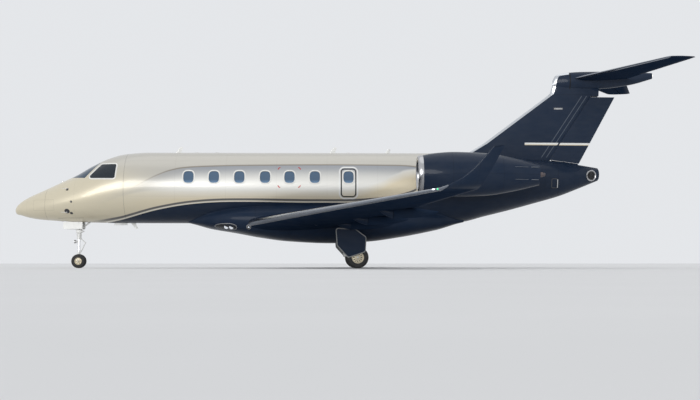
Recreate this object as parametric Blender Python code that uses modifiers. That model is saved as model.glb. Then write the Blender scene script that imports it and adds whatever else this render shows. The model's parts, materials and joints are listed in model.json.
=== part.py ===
"""A mid-size twin-engined business jet, parked on its gear, in metres with +Z up.

The nose points to -X and the right wing to +Y. Places are written as (station, y, z):
the station is measured aft from the nose tip and z from the axis of the cabin tube.
at() turns such a place into world coordinates.
"""

import math

import bmesh
import bpy
import numpy as np
from mathutils import Matrix, Vector

# Driving dimensions
LENGTH = 20.74
ORIGIN_STATION = LENGTH / 2
AXIS_HEIGHT = 2.56
CABIN_RADIUS = 1.13
WALL = 0.08
AFT_WALL = 0.045
SEAM = 0.0003
FITTED_SEAM = 0.0008
MOVING_GAP = 0.010
BODY_SIDES = 36
SIDES = (("left", -1), ("right", 1))

# Fuselage sections: station, top, bottom, half width, height of the widest point
BODY = np.array([
    (0.00, -0.700, -0.760, 0.030, -0.730),
    (0.06, -0.590, -0.850, 0.130, -0.720),
    (0.19, -0.465, -0.885, 0.250, -0.710),
    (0.45, -0.305, -0.960, 0.400, -0.680),
    (0.82, -0.135, -1.020, 0.560, -0.630),
    (1.33, 0.100, -1.060, 0.730, -0.550),
    (1.96, 0.400, -1.110, 0.880, -0.420),
    (2.47, 0.695, -1.115, 0.980, -0.300),
    (2.97, 0.930, -1.125, 1.050, -0.160),
    (3.48, 1.070, -1.130, 1.100, -0.060),
    (4.30, 1.130, -1.130, 1.130, 0.000),
    (13.30, 1.130, -1.130, 1.130, 0.000),
    (14.20, 1.090, -1.090, 1.100, 0.020),
    (15.00, 1.020, -0.900, 1.020, 0.080),
    (15.80, 0.950, -0.700, 0.880, 0.140),
    (16.60, 0.930, -0.480, 0.720, 0.220),
    (17.40, 0.865, -0.250, 0.550, 0.300),
    (18.00, 0.775, -0.020, 0.410, 0.380),
    (18.66, 0.660, 0.250, 0.200, 0.455),
])
RADOME_END = 1.08
FORWARD_END = 3.60
CABIN_END = 13.20
AFT_END = 17.30
BODY_END = 18.66

# Belly fairing sections: station, half width, bottom, top
FAIRING = (
    (5.45, 0.30, -1.150, -0.95),
    (6.27, 0.85, -1.330, -0.75),
    (7.03, 1.12, -1.460, -0.62),
    (7.78, 1.25, -1.600, -0.55),
    (8.70, 1.30, -1.720, -0.52),
    (10.00, 1.30, -1.780, -0.52),
    (11.20, 1.28, -1.730, -0.55),
    (12.30, 1.15, -1.580, -0.62),
    (13.40, 0.80, -1.360, -0.75),
    (14.30, 0.30, -1.130, -0.95),
)
FAIRING_SQUARENESS = 2.6

# Openings of the cockpit and cabin, as side outlines (station, z)
WINDSHIELD = ((1.60, 0.31), (2.34, 0.26), (2.74, 0.75), (2.70, 1.20), (1.60, 1.20))
CENTRE_POST = 0.035
COCKPIT_WINDOW = ((2.44, 0.25), (2.84, 0.705), (3.34, 0.70), (3.32, 0.235))
PANE = 0.03
WINDOW_STATIONS = (5.62, 6.41, 7.20, 8.00, 8.76, 9.55, 10.60)
WINDOW_SIZE = (0.32, 0.37)
WINDOW_Z = 0.275
WINDOW_CORNER = 0.11
HATCH_CORNER = 0.08
EXIT = (10.35, 10.85, -0.36, 0.56)
DOOR = (3.95, 4.72, -0.60, 0.86)
DOOR_GAP = 0.006
DOOR_STEPS = 4

# Avionics behind the radome: two corners (station, y, z)
AVIONICS = ((RADOME_END, -0.33, -0.80), (1.62, 0.33, -0.25))

# Cabin floor and what stands on it
FLOOR_TOP = -0.60
FLOOR = (1.75, 12.30)
FLOOR_THICK = 0.05
FLOOR_CLEARANCE = 0.006
SEAT_STATIONS = (5.75, 7.15, 8.55, 9.95)
SEAT_Y = 0.56
# Side outlines of the seat backs: distance aft of the seat's middle, height over the floor
SEAT_BACK = ((0.20, 0.30), (0.36, 0.30), (0.50, 1.05), (0.38, 1.08))
# Side outline of the instrument panel: station, height over the floor
PANEL = ((2.02, 0.0), (2.28, 0.0), (2.36, 0.62), (2.30, 0.80), (2.06, 0.62))
PILOT_SEAT_STATION = 3.09
PILOT_SEAT_Y = 0.40
PILOT_BACK = ((0.17, 0.30), (0.27, 0.30), (0.37, 1.10), (0.29, 1.10))

# Wing sections: half span, leading edge, chord, height, thickness
WING = np.array([
    (0.90, 7.310, 4.05, -1.167, 0.125),
    (1.80, 7.850, 3.60, -1.115, 0.125),
    (3.50, 8.870, 2.85, -1.016, 0.120),
    (5.70, 10.190, 2.15, -0.887, 0.115),
    (9.60, 12.530, 0.95, -0.656, 0.110),
])
# Winglet sections: half span, leading edge, chord, height over the wing tip, thickness, cant in degrees
WINGLET = (
    (9.60, 12.53, 0.95, 0.00, 0.110, 0),
    (9.86, 12.80, 0.75, 0.10, 0.100, 45),
    (9.97, 13.10, 0.55, 0.27, 0.090, 76),
    (10.115, 13.80, 0.24, 0.98, 0.080, 82),
)
# Hinge lines of the wing's surfaces: half span and station at the inboard and outboard ends
FLAP_HINGE = ((1.78, 10.64), (6.00, 11.93))
AILERON_HINGE = ((6.06, 11.99), (9.30, 13.06))
FLAP_DROP = 0.30
KNUCKLE = 0.020
LIP_TOP = 0.030
LIP_SLOT = 0.045
# Flap-track fairings: half span, front end, rear end, half width
CANOES = ((2.10, 10.10, 11.95, 0.085), (3.60, 10.60, 12.30, 0.080), (5.60, 11.30, 12.95, 0.070))

# Fin sections: height, leading edge, trailing edge, thickness
FIN = (
    (0.60, 13.90, 17.02, 0.20),
    (1.13, 14.45, 17.27, 0.26),
    (1.45, 14.98, 17.48, 0.25),
    (3.07, 17.15, 18.56, 0.19),
    (3.34, 17.23, 18.72, 0.18),
)
RUDDER_HINGE = ((17.13, 0.93), (18.486, 2.97))
RUDDER_EDGE = ((18.07, 0.805), (19.26, 2.97))
RUDDER_PIN = 0.018
RUDDER_NOSES = (0.062, 0.048)
RUDDER_ROOF = 3.00
RUDDER_BAY_NOSE = 0.085
# How far behind its trailing edge the fin is drawn, for the rudder's bay to cut back
FIN_OVERHANG = 0.9

# Stabiliser sections: half span, leading edge, chord, height, thickness
STABILISER = np.array([
    (0.00, 17.84, 1.76, 3.56, 0.095),
    (3.55, 19.88, 0.86, 3.64, 0.090),
    (3.67, 20.05, 0.62, 3.64, 0.060),
])
ELEVATOR_HINGE = ((0.42, 19.20), (3.45, 20.40))
# Bullet sections: station, top, bottom, half width
BULLET = (
    (17.24, 3.50, 3.30, 0.04),
    (17.33, 3.66, 3.26, 0.08),
    (17.48, 3.73, 3.24, 0.11),
    (17.75, 3.77, 3.22, 0.16),
    (18.20, 3.80, 3.22, 0.20),
    (19.00, 3.81, 3.26, 0.20),
    (19.80, 3.80, 3.38, 0.15),
    (20.50, 3.77, 3.58, 0.06),
)

# Engines
ENGINE_Y = 1.90
ENGINE_Z = 0.30
# Nacelle outside: station, radius
NACELLE = ((12.84, 0.585), (13.20, 0.650), (13.80, 0.690), (14.80, 0.650), (15.70, 0.500), (16.40, 0.330))
# Nacelle duct: station, radius
DUCT = ((12.84, 0.470), (13.20, 0.490), (13.70, 0.500), (15.00, 0.500), (16.40, 0.295))
LIP = ((12.84, 0.585), (12.74, 0.552), (12.68, 0.515), (12.70, 0.480), (12.84, 0.470))
FAN_FRONT = 13.10
FAN_REAR = 13.60
FAN_RADIUS = 0.482
FAN_HUB = 0.17
FAN_BLADES = 16
BLADE_THICK = 0.012
CORE = ((13.70, 0.18), (13.80, 0.34), (15.50, 0.34), (16.00, 0.20), (16.60, 0.05))
# Struts from the core to the duct, at the corners of the duct's facets
STRUT_ANGLES = (0, 112.5, -112.5)
STRUT_REACH = 0.4975
# Pylon: leading edge, chord, height, thickness
PYLON = (13.25, 2.55, 0.30, 0.24)
ROUND_SIDES = 32

# Jack pads: radius, how far each goes up into its piece, and the places of the undersides
JACK_PAD = 0.035
JACK_PAD_DEPTH = 0.06
NOSE_JACK = (3.25, 0.0, -1.145)
WING_JACK = (9.60, 2.60, -1.285)

# Landing gear
NOSE_AXLE = 2.03
NOSE_FORK_TOP = -1.55
NOSE_TYRE = 0.22
NOSE_TRACK = 0.085
NOSE_TYRE_WIDTH = 0.10
NOSE_RIM = 0.115
NOSE_AXLE_RADIUS = 0.022
MAIN_AXLE = 10.87
MAIN_Y = 1.52
MAIN_TYRE = 0.33
MAIN_TRACK = 0.150
MAIN_TYRE_WIDTH = 0.17
MAIN_RIM = 0.185
MAIN_AXLE_RADIUS = 0.036
MAIN_LINK = 0.34
MAIN_LEG = 0.055
AXLE_PLAY = 0.0005
RECESS_ROOF = 0.05
WHEEL_SIDES = 24
NOSE_WELL = (1.50, 2.95, 0.19)
# Gear doors as side outlines (station, z)
NOSE_DOOR = ((1.57, -1.32), (2.17, -1.32), (2.17, -1.10), (1.57, -1.10))
NOSE_DOOR_ARM = (1.72, 2.02)
MAIN_DOOR = ((10.22, -1.36), (10.26, -1.86), (10.58, -2.21), (11.08, -2.04), (11.10, -1.62), (10.80, -1.40))
MAIN_DOOR_OUT = (0.26, 0.285)
MAIN_DOOR_STRUTS = (("upper", -1.45), ("lower", -1.85))

# Blade antennas: root station, root chord, tip chord, sweep of the tip, height of the tip
BLADES = (
    (5.02, 0.20, 0.11, 0.19, 0.25),
    (9.95, 0.20, 0.11, 0.19, 0.25),
    (11.75, 0.16, 0.09, 0.14, 0.19),
    (3.62, 0.17, 0.09, 0.20, -0.24),
)
BLADE_HALF = 0.012
BLADE_ROOT = 0.05

# Colours: red, green, blue, roughness, metallic
PAINTS = {
    "champagne": (0.62, 0.60, 0.55, 0.30, 0.35),
    "navy": (0.012, 0.030, 0.065, 0.25, 0.20),
    "white": (0.80, 0.80, 0.78, 0.35, 0.0),
    "polished": (0.75, 0.76, 0.78, 0.12, 1.0),
    "grey": (0.36, 0.37, 0.38, 0.45, 0.3),
    "dark": (0.03, 0.03, 0.035, 0.5, 0.2),
    "rubber": (0.02, 0.02, 0.02, 0.8, 0.0),
    "glass": (0.16, 0.26, 0.36, 0.08, 0.0),
    "leather": (0.55, 0.46, 0.36, 0.55, 0.0),
    "carpet": (0.20, 0.18, 0.16, 0.9, 0.0),
    "titanium": (0.30, 0.29, 0.28, 0.35, 0.9),
}


def at(station, y, z):
    """World place of (station, y, z)."""
    return Vector((station - ORIGIN_STATION, y, z + AXIS_HEIGHT))


def clear_scene():
    """Takes away every object that Blender starts with."""
    for obj in list(bpy.data.objects):
        bpy.data.objects.remove(obj, do_unlink=True)


def new_collection(name):
    collection = bpy.data.collections.new(name)
    bpy.context.scene.collection.children.link(collection)
    return collection


def paint(name, look):
    red, green, blue, roughness, metallic = PAINTS[look]
    material = bpy.data.materials.new(name)
    material.use_nodes = True
    shader = material.node_tree.nodes["Principled BSDF"]
    shader.inputs["Base Color"].default_value = (red, green, blue, 1)
    shader.inputs["Roughness"].default_value = roughness
    shader.inputs["Metallic"].default_value = metallic
    material.diffuse_color = (red, green, blue, 1)
    return material


class Model:
    """The part's collections, its pieces by name, and how pieces are made and cut."""

    def __init__(self):
        clear_scene()
        self.parts = new_collection("business_jet")
        self.cutters = new_collection("cutters")

    def _link(self, obj, look):
        if look is None:
            self.cutters.objects.link(obj)
            obj.hide_render = True
            obj.display_type = "WIRE"
            return obj
        self.parts.objects.link(obj)
        obj.data.materials.append(paint(obj.name, look))
        for polygon in obj.data.polygons:
            polygon.use_smooth = True
        return obj

    def piece(self, name, bm, look=None, origin=None):
        """A piece, or with no look a cutter, from a bmesh in world places, with its origin there."""
        bmesh.ops.recalc_face_normals(bm, faces=bm.faces)
        if origin is not None:
            bmesh.ops.translate(bm, verts=bm.verts, vec=-origin)
        mesh = bpy.data.meshes.new(name)
        bm.to_mesh(mesh)
        bm.free()
        obj = bpy.data.objects.new(name, mesh)
        if origin is not None:
            obj.location = origin
        return self._link(obj, look)

    def turned(self, name, profile, centre, axis, look=None, sides=ROUND_SIDES, closed=True):
        """A profile of (along, radius) turned about an axis through centre.

        The profile runs from high to low `along` on its outer side. A closed one is a ring.
        """
        mesh = bpy.data.meshes.new(name)
        count = len(profile)
        edges = [(i, (i + 1) % count) for i in range(count if closed else count - 1)]
        mesh.from_pydata([(radius, 0, along) for along, radius in profile], edges, [])
        obj = bpy.data.objects.new(name, mesh)
        turn = Vector((0, 0, 1)).rotation_difference(axis).to_matrix().to_4x4()
        obj.matrix_world = Matrix.Translation(centre) @ turn
        self._link(obj, look)
        screw = obj.modifiers.new("turn", "SCREW")
        screw.steps = screw.render_steps = sides
        screw.use_merge_vertices = True
        screw.merge_threshold = 0.0001
        return obj


def boolean(obj, other, operation="DIFFERENCE"):
    modifier = obj.modifiers.new(f"{operation.lower()} {other.name}", "BOOLEAN")
    modifier.operation = operation
    modifier.solver = "EXACT"
    modifier.object = other
    return obj


def skin(rings, wrap=False):
    """A closed bmesh lofted through rings of equal length, capped, or with wrap joined last to first."""
    bm = bmesh.new()
    rows = [[bm.verts.new(point) for point in ring] for ring in rings]
    count = len(rows[0])
    for first, second in zip(rows, rows[1:] + rows[:1] if wrap else rows[1:]):
        for i in range(count):
            j = (i + 1) % count
            bm.faces.new((first[i], second[i], second[j], first[j]))
    if not wrap:
        bm.faces.new(rows[0])
        bm.faces.new(rows[-1])
    bmesh.ops.triangulate(bm, faces=bm.faces[:], quad_method="FIXED")
    return bm


def box_mesh(lo, hi):
    """A box between two places (station, y, z)."""
    bm = bmesh.new()
    bmesh.ops.create_cube(bm, size=1)
    low, high = at(*lo), at(*hi)
    for vert in bm.verts:
        vert.co = Vector(low[i] + (vert.co[i] + 0.5) * (high[i] - low[i]) for i in range(3))
    return bm


def rod_mesh(start, end, radius, sides=16):
    """A round rod between two world places."""
    bm = bmesh.new()
    bmesh.ops.create_cone(
        bm, cap_ends=True, segments=sides, radius1=radius, radius2=radius, depth=(end - start).length,
    )
    turn = Vector((0, 0, 1)).rotation_difference(end - start).to_matrix().to_4x4()
    bmesh.ops.transform(bm, matrix=Matrix.Translation((start + end) / 2) @ turn, verts=bm.verts)
    return bm


def rounded(outline, radius, steps=3):
    """The outline's corners replaced by arcs, as points in the plane."""
    points = [np.array(point, float) for point in outline]
    out = []
    for i, corner in enumerate(points):
        before, after = points[i - 1] - corner, points[(i + 1) % len(points)] - corner
        before, after = before / np.linalg.norm(before), after / np.linalg.norm(after)
        half = math.acos(np.clip(before @ after, -1, 1)) / 2
        centre = corner + (before + after) / np.linalg.norm(before + after) * radius / math.sin(half)
        reach = radius / math.tan(half)
        first, last = corner + before * reach - centre, corner + after * reach - centre
        sweep = math.pi - 2 * half
        turn = math.copysign(1, first[0] * last[1] - first[1] * last[0])
        for k in range(steps + 1):
            angle = turn * sweep * k / steps
            cos, sin = math.cos(angle), math.sin(angle)
            out.append(centre + (first[0] * cos - first[1] * sin, first[0] * sin + first[1] * cos))
    return out


def side_prism(outline, y_from, y_to):
    """A side outline of (station, z) carried from one y to another."""
    return skin([[at(x, y, z) for x, z in outline] for y in (y_from, y_to)])


def plan_prism(outline, z_from, z_to):
    """A plan outline of (station, y) carried from one z to another."""
    return skin([[at(x, y, z) for x, y in outline] for z in (z_from, z_to)])


def rectangle(x0, x1, z0, z1):
    """The corners of a rectangle, as a side outline."""
    return (x0, z0), (x1, z0), (x1, z1), (x0, z1)


def widened(limits, gap):
    """A rectangle's corners moved out by a gap."""
    x0, x1, z0, z1 = limits
    return rectangle(x0 - gap, x1 + gap, z0 - gap, z1 + gap)


def turns(sides):
    """The angles of the corners of a section with that many sides."""
    return np.linspace(0, 2 * math.pi, sides, endpoint=False)


def body_row(station):
    """Top, bottom, half width and height of the widest point of the fuselage at a station."""
    return [float(np.interp(station, BODY[:, 0], BODY[:, i])) for i in range(1, 5)]


def body_ring(station, grow=0.0, sides=BODY_SIDES):
    """One fuselage section: half ellipses over and under its widest point."""
    top, bottom, half, widest = body_row(station)
    ring = []
    for t in turns(sides):
        reach = (top - widest if math.cos(t) > 0 else widest - bottom) + grow
        ring.append(at(station, (half + grow) * math.sin(t), widest + reach * math.cos(t)))
    return ring


def body_stations(start, end):
    """The sections between two stations, with those at the seams, so that like stretches match."""
    inside = sorted({*BODY[:, 0], RADOME_END, FORWARD_END, CABIN_END, AFT_END})
    return [start, *(x for x in inside if start + 0.001 < x < end - 0.001), end]


def body_mesh(start, end, grow=0.0):
    return skin([body_ring(x, grow) for x in body_stations(start, end)])


def body_shell(model, name, start, end, look, thickness=WALL):
    """A stretch of fuselage wall, open at both ends."""
    stations = body_stations(start, end)
    rings = [body_ring(x) for x in stations] + [body_ring(x, -thickness) for x in reversed(stations)]
    return model.piece(name, skin(rings, wrap=True), look)


def fairing_mesh(grow=0.0):
    rings = []
    for station, half, bottom, top in FAIRING:
        middle, reach = (top + bottom) / 2, (top - bottom) / 2 + grow
        ring = []
        for t in turns(BODY_SIDES):
            power = 2 / FAIRING_SQUARENESS
            y = math.copysign(abs(math.sin(t)) ** power, math.sin(t)) * (half + grow)
            z = math.copysign(abs(math.cos(t)) ** power, math.cos(t)) * reach
            ring.append(at(station, y, middle + z))
        rings.append(ring)
    return skin(rings)


def airfoil(thickness, points=9):
    """A closed symmetric section of unit chord: (x, half thickness) over the top and back under."""
    x = (1 - np.cos(np.linspace(0, math.pi, points))) / 2
    half = 5 * thickness * (0.2969 * np.sqrt(x) - 0.126 * x - 0.3516 * x**2 + 0.2843 * x**3 - 0.1015 * x**4)
    top = list(zip(x, half))
    return top + [(a, -b) for a, b in reversed(top[1:])]


def wing_ring(sign, half_span, edge, chord, height, thickness, cant=0.0):
    """One wing section, its thickness leaning inboard by the cant angle in degrees."""
    lean, rise = math.sin(math.radians(cant)), math.cos(math.radians(cant))
    return [
        at(edge + x * chord, sign * (half_span - z * chord * lean), height + z * chord * rise)
        for x, z in airfoil(thickness)
    ]


def wing_value(table, half_span, column):
    return float(np.interp(half_span, table[:, 0], table[:, column]))


def surface_place(table, sign, half_span, station):
    """World place on the wing's middle plane."""
    return at(station, sign * half_span, wing_value(table, half_span, 3))


def surface_half_thickness(table, half_span, station):
    edge, chord, thickness = (wing_value(table, half_span, i) for i in (1, 2, 4))
    x = (station - edge) / chord
    return chord * 5 * thickness * (
        0.2969 * math.sqrt(x) - 0.126 * x - 0.3516 * x**2 + 0.2843 * x**3 - 0.1015 * x**4
    )


def reach_edge(table, half_span, station, slope):
    """Distance from a hinge point to the trailing edge, square to the hinge line in plan."""
    cos, sin = 1 / math.hypot(1, slope), slope / math.hypot(1, slope)
    reach = 0.0
    for _ in range(30):
        span = half_span - reach * sin
        edge = wing_value(table, span, 1) + wing_value(table, span, 2)
        reach = (edge - station) / cos
    return reach


def flap_sections(table, sign, hinge, count):
    """Rows of (hinge place, trailing edge place, nose radius) along a hinge line."""
    (span0, station0), (span1, station1) = hinge
    slope = (station1 - station0) / (span1 - span0)
    cos, sin = 1 / math.hypot(1, slope), slope / math.hypot(1, slope)
    rows = []
    for f in np.linspace(0, 1, count):
        span, station = span0 + (span1 - span0) * f, station0 + (station1 - station0) * f
        reach = reach_edge(table, span, station, slope)
        place = surface_place(table, sign, span, station)
        edge_span = span - reach * sin
        edge = surface_place(table, sign, edge_span, station + reach * cos)
        rows.append((place, edge, surface_half_thickness(table, span, station) - 0.002))
    return rows


def control_surface(rows, normal, edge_half=0.004, nose_steps=6):
    """A movable surface: a round nose on its hinge line, tapering to a thin trailing edge."""
    rings = []
    for hinge, edge, radius in rows:
        back = (edge - hinge).normalized()
        up = (normal - back * normal.dot(back)).normalized()
        ring = [edge + up * edge_half]
        for k in range(nose_steps + 1):
            t = math.pi * k / nose_steps
            ring.append(hinge + up * radius * math.cos(t) - back * radius * math.sin(t))
        ring.append(edge - up * edge_half)
        rings.append(ring)
    return skin(rings)


def surface_bay(rows, gap, nose_gap, ahead=None, depth=0.8):
    """The space over and under a movable surface, to be cleared out of the fixed wing.

    With `ahead` it is the space of that depth in front of the surface's nose instead.
    """
    (first, first_edge, radius0), (last, last_edge, radius1) = rows[0], rows[-1]
    along = (last - first).normalized()
    back0, back1 = (first_edge - first).normalized(), (last_edge - last).normalized()
    front0 = first - along * gap - back0 * (radius0 + nose_gap)
    front1 = last + along * gap - back1 * (radius1 + nose_gap)
    if ahead is None:
        rear1, rear0 = last_edge + along * gap + back1 * 0.3, first_edge - along * gap + back0 * 0.3
    else:
        rear1, rear0 = front1 - back1 * ahead, front0 - back0 * ahead
    corners = (front0, front1, rear1, rear0)
    return skin([[c + Vector((0, 0, z)) for c in corners] for z in (-depth, 0.8)])


def hinge_pins(model, obj, rows, radius=0.012):
    """Pins on the hinge line that reach the walls beside the surface."""
    first, last = rows[0][0], rows[-1][0]
    along = (last - first).normalized()
    for name, place, way in (("inner", first, -along), ("outer", last, along)):
        pin = rod_mesh(place - way * 0.02, place + way * (MOVING_GAP - FITTED_SEAM), radius, 8)
        boolean(obj, model.piece(f"{obj.name}_{name}_pin", pin), "UNION")


def pin_reach(place, way, radius, wall, normal):
    """How far a pin goes from a place until the rim of its square end is just short of a plane wall."""
    lean = abs(way.dot(normal))
    gap = FITTED_SEAM + radius * math.sqrt(1 - lean**2)
    return ((place - wall).dot(normal) - gap) / lean


def canoe_mesh(sign, half_span, front, rear, half_width, hinge_station, side):
    """The front or rear half of a flap-track fairing, deepest at the hinge station."""
    height = wing_value(WING, half_span, 3)
    deepest = height - FLAP_DROP
    reach = rear - hinge_station
    ahead = hinge_station - front
    if side == "front":
        end = hinge_station - KNUCKLE - SEAM
        rows = ((front, 0.05, 0.35), (front + 0.35 * ahead, 0.65, 0.70), (end, 1.0, 1.0))
    else:
        rows = ((hinge_station - 0.3, 1.0, 1.0), (hinge_station, 1.0, 1.0),
                (hinge_station + 0.45 * reach, 0.85, 0.85), (rear, 0.12, 0.25))
    rings = []
    for station, width, depth in rows:
        top = height + (0.0 if station < hinge_station + 0.6 * reach else -0.02)
        bottom = height - (height - deepest) * depth
        middle, tall = (top + bottom) / 2, (top - bottom) / 2
        rings.append([
            at(station, sign * half_span + half_width * width * math.sin(t), middle + tall * math.cos(t))
            for t in turns(12)
        ])
    return skin(rings)


def build_fuselage(model):
    model.piece("radome", body_mesh(0.0, RADOME_END - SEAM), "champagne")
    model.piece("avionics_block", box_mesh(*AVIONICS), "grey")
    forward = body_shell(model, "fuselage_forward", RADOME_END, FORWARD_END - SEAM, "champagne")
    cabin = body_shell(model, "fuselage_cabin", FORWARD_END, CABIN_END - SEAM, "champagne")
    body_shell(model, "fuselage_aft", CABIN_END, AFT_END - SEAM, "navy", AFT_WALL)
    tail = model.piece("tail_cone", body_mesh(AFT_END, BODY_END), "navy")
    exhaust = rod_mesh(at(18.43, -0.45, 0.40), at(18.43, 0.02, 0.40), 0.13, 20)
    boolean(tail, model.piece("exhaust_hole", exhaust))

    well = box_mesh((NOSE_WELL[0], -NOSE_WELL[2], -1.3), (NOSE_WELL[1], NOSE_WELL[2], -0.8))
    boolean(forward, model.piece("nose_well", well))
    jack_pad(model, forward, "nose", at(*NOSE_JACK))
    for side, sign in SIDES:
        near, far = sign * CENTRE_POST, sign * 1.3
        hole = model.piece(f"windshield_{side}_hole", side_prism(WINDSHIELD, near, far))
        boolean(forward, hole)
        pane = body_shell(model, f"windshield_{side}", 1.7, 2.9, "glass", PANE)
        inner = rounded(WINDSHIELD, 0.001, 1)
        edge = side_prism(shrink(inner, SEAM), near + sign * SEAM, far)
        shrunk = model.piece(f"windshield_{side}_edge", edge)
        boolean(pane, shrunk, "INTERSECT")
        outline = rounded(COCKPIT_WINDOW, 0.06)
        hole = side_prism(outline, sign * 0.5, far)
        boolean(forward, model.piece(f"cockpit_window_{side}_hole", hole))
        pane = body_shell(model, f"cockpit_window_{side}", 2.3, 3.5, "glass", PANE)
        edge = side_prism(shrink(outline, SEAM), sign * 0.5, far)
        shrunk = model.piece(f"cockpit_window_{side}_edge", edge)
        boolean(pane, shrunk, "INTERSECT")

    wide, tall = WINDOW_SIZE
    holes = []
    for number, station in enumerate(WINDOW_STATIONS):
        limits = rectangle(station - wide / 2, station + wide / 2, WINDOW_Z - tall / 2, WINDOW_Z + tall / 2)
        hole = side_prism(rounded(limits, WINDOW_CORNER), -1.4, 1.4)
        holes.append(model.piece(f"window_{number}_hole", hole))
    exit_hole = side_prism(rounded(widened(EXIT, 0.0), HATCH_CORNER), -1.4, -0.6)
    boolean(cabin, model.piece("overwing_exit_hole", exit_hole))
    door_hole = side_prism(rounded(widened(DOOR, DOOR_GAP), HATCH_CORNER), 0.6, 1.4)
    boolean(cabin, model.piece("entry_door_hole", door_hole))
    for hole in holes:
        boolean(cabin, hole)
    for number, blade in enumerate(BLADES):
        boolean(cabin, model.piece(f"blade_{number}", blade_mesh(*blade)), "UNION")

    hatch = body_shell(model, "overwing_exit", 10.2, 11.0, "champagne")
    edge = side_prism(rounded(widened(EXIT, -SEAM), HATCH_CORNER), -1.4, -0.6)
    boolean(hatch, model.piece("overwing_exit_edge", edge), "INTERSECT")
    boolean(hatch, holes[-1])
    build_entry_door(model)


def blade_mesh(station, root, tip, sweep, height):
    """A swept blade that stands on the cabin tube, or hangs under it where its height is negative."""
    way = math.copysign(1, height)
    foot, head = way * (CABIN_RADIUS - BLADE_ROOT), way * CABIN_RADIUS + height
    top = station + sweep
    outline = ((station, foot), (station + root, foot), (top + tip, head), (top, head))
    return side_prism(outline, -BLADE_HALF, BLADE_HALF)


def shrink(outline, gap):
    """The outline moved in by a gap toward its own middle, point by point."""
    points = np.array(outline, float)
    following, before = np.roll(points, -1, axis=0), np.roll(points, 1, axis=0)
    along = following - before
    normal = np.stack([-along[:, 1], along[:, 0]], axis=1)
    normal /= np.linalg.norm(normal, axis=1)[:, None]
    middle = points.mean(axis=0)
    sign = np.sign(((middle - points) * normal).sum(axis=1))
    return points + normal * sign[:, None] * gap * 1.5


def door_hinge():
    """Station and place of the door's hinge, on the skin at its bottom edge."""
    z = DOOR[2] - DOOR_GAP
    return at(DOOR[0], math.sqrt(CABIN_RADIUS**2 - z**2), z)


def build_entry_door(model):
    shell = body_shell(model, "entry_door", 3.8, 4.9, "champagne")
    edge = side_prism(rounded(widened(DOOR, 0.0), HATCH_CORNER), 0.6, 1.4)
    boolean(shell, model.piece("entry_door_edge", edge), "INTERSECT")
    spacing = (DOOR[3] - DOOR[2]) / (DOOR_STEPS + 1)
    for number in range(DOOR_STEPS):
        z = DOOR[2] + spacing * (number + 1)
        skin_y = math.sqrt(CABIN_RADIUS**2 - z**2) - WALL
        step = bmesh.new()
        bmesh.ops.create_cube(step, size=1)
        size = Matrix.Diagonal((DOOR[1] - DOOR[0] - 0.12, 0.26, 0.03, 1))
        place = Matrix.Translation(at((DOOR[0] + DOOR[1]) / 2, skin_y - 0.06, z))
        turn = Matrix.Rotation(math.radians(-45), 4, "X")
        bmesh.ops.transform(step, matrix=place @ turn @ size, verts=step.verts)
        boolean(shell, model.piece(f"door_step_{number}", step), "UNION")
    origin = door_hinge()
    shell.data.transform(Matrix.Translation(-origin))
    shell.location = origin
    pin_z = origin.z - AXIS_HEIGHT
    for name, station in (("front", DOOR[0] + 0.15), ("rear", DOOR[1] - 0.15)):
        low = (station - 0.04, origin.y - 0.050, pin_z + SEAM)
        lug = box_mesh(low, (station + 0.04, origin.y - 0.010, pin_z + 0.05))
        boolean(shell, model.piece(f"door_lug_{name}", lug), "UNION")


def build_interior(model):
    half = math.sqrt((CABIN_RADIUS - WALL) ** 2 - (FLOOR_TOP - FLOOR_THICK) ** 2) - FLOOR_CLEARANCE
    outline = (
        (FLOOR[0], -0.58), (2.5, -0.70), (3.5, -half + 0.02), (4.4, -half), (FLOOR[1], -half),
        (FLOOR[1], half), (4.4, half), (3.5, half - 0.02), (2.5, 0.70), (FLOOR[0], 0.58),
    )
    model.piece("cabin_floor", plan_prism(outline, FLOOR_TOP - FLOOR_THICK, FLOOR_TOP), "carpet")
    radius = CABIN_RADIUS - WALL - SEAM
    ring = [(radius * math.sin(t), radius * math.cos(t)) for t in turns(BODY_SIDES)]
    bulkhead = skin([[at(x, y, z) for y, z in ring] for x in (FLOOR[1] + SEAM, FLOOR[1] + 0.08)])
    model.piece("aft_bulkhead", bulkhead, "grey")

    base = FLOOR_TOP + SEAM
    for side, sign in SIDES:
        y = sign * SEAT_Y
        front, rear = SEAT_STATIONS[0] - 0.35, SEAT_STATIONS[-1] + 0.40
        rail = box_mesh((front, y - 0.10, base), (rear, y + 0.10, base + 0.06))
        seats = model.piece(f"cabin_seats_{side}", rail, "leather")
        for number, station in enumerate(SEAT_STATIONS):
            low, high = (station - 0.28, y - 0.23, base + 0.03), (station + 0.28, y + 0.23, base + 0.44)
            cushion = box_mesh(low, high)
            outline = [(station + x, base + z) for x, z in SEAT_BACK]
            back = side_prism(outline, y - 0.22, y + 0.22)
            boolean(seats, model.piece(f"seat_{side}_{number}", cushion), "UNION")
            boolean(seats, model.piece(f"seat_back_{side}_{number}", back), "UNION")
    rail = box_mesh((2.90, -0.62, base), (3.40, 0.62, base + 0.10))
    cockpit = model.piece("cockpit_seats", rail, "leather")
    for side, sign in SIDES:
        station, y = PILOT_SEAT_STATION, sign * PILOT_SEAT_Y
        cushion = box_mesh((station - 0.24, y - 0.21, base + 0.05), (station + 0.24, y + 0.21, base + 0.40))
        back = side_prism([(station + x, base + z) for x, z in PILOT_BACK], y - 0.20, y + 0.20)
        boolean(cockpit, model.piece(f"pilot_seat_{side}", cushion), "UNION")
        boolean(cockpit, model.piece(f"pilot_back_{side}", back), "UNION")
    panel = side_prism([(station, base + z) for station, z in PANEL], -0.52, 0.52)
    model.piece("instrument_panel", panel, "dark")


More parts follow.
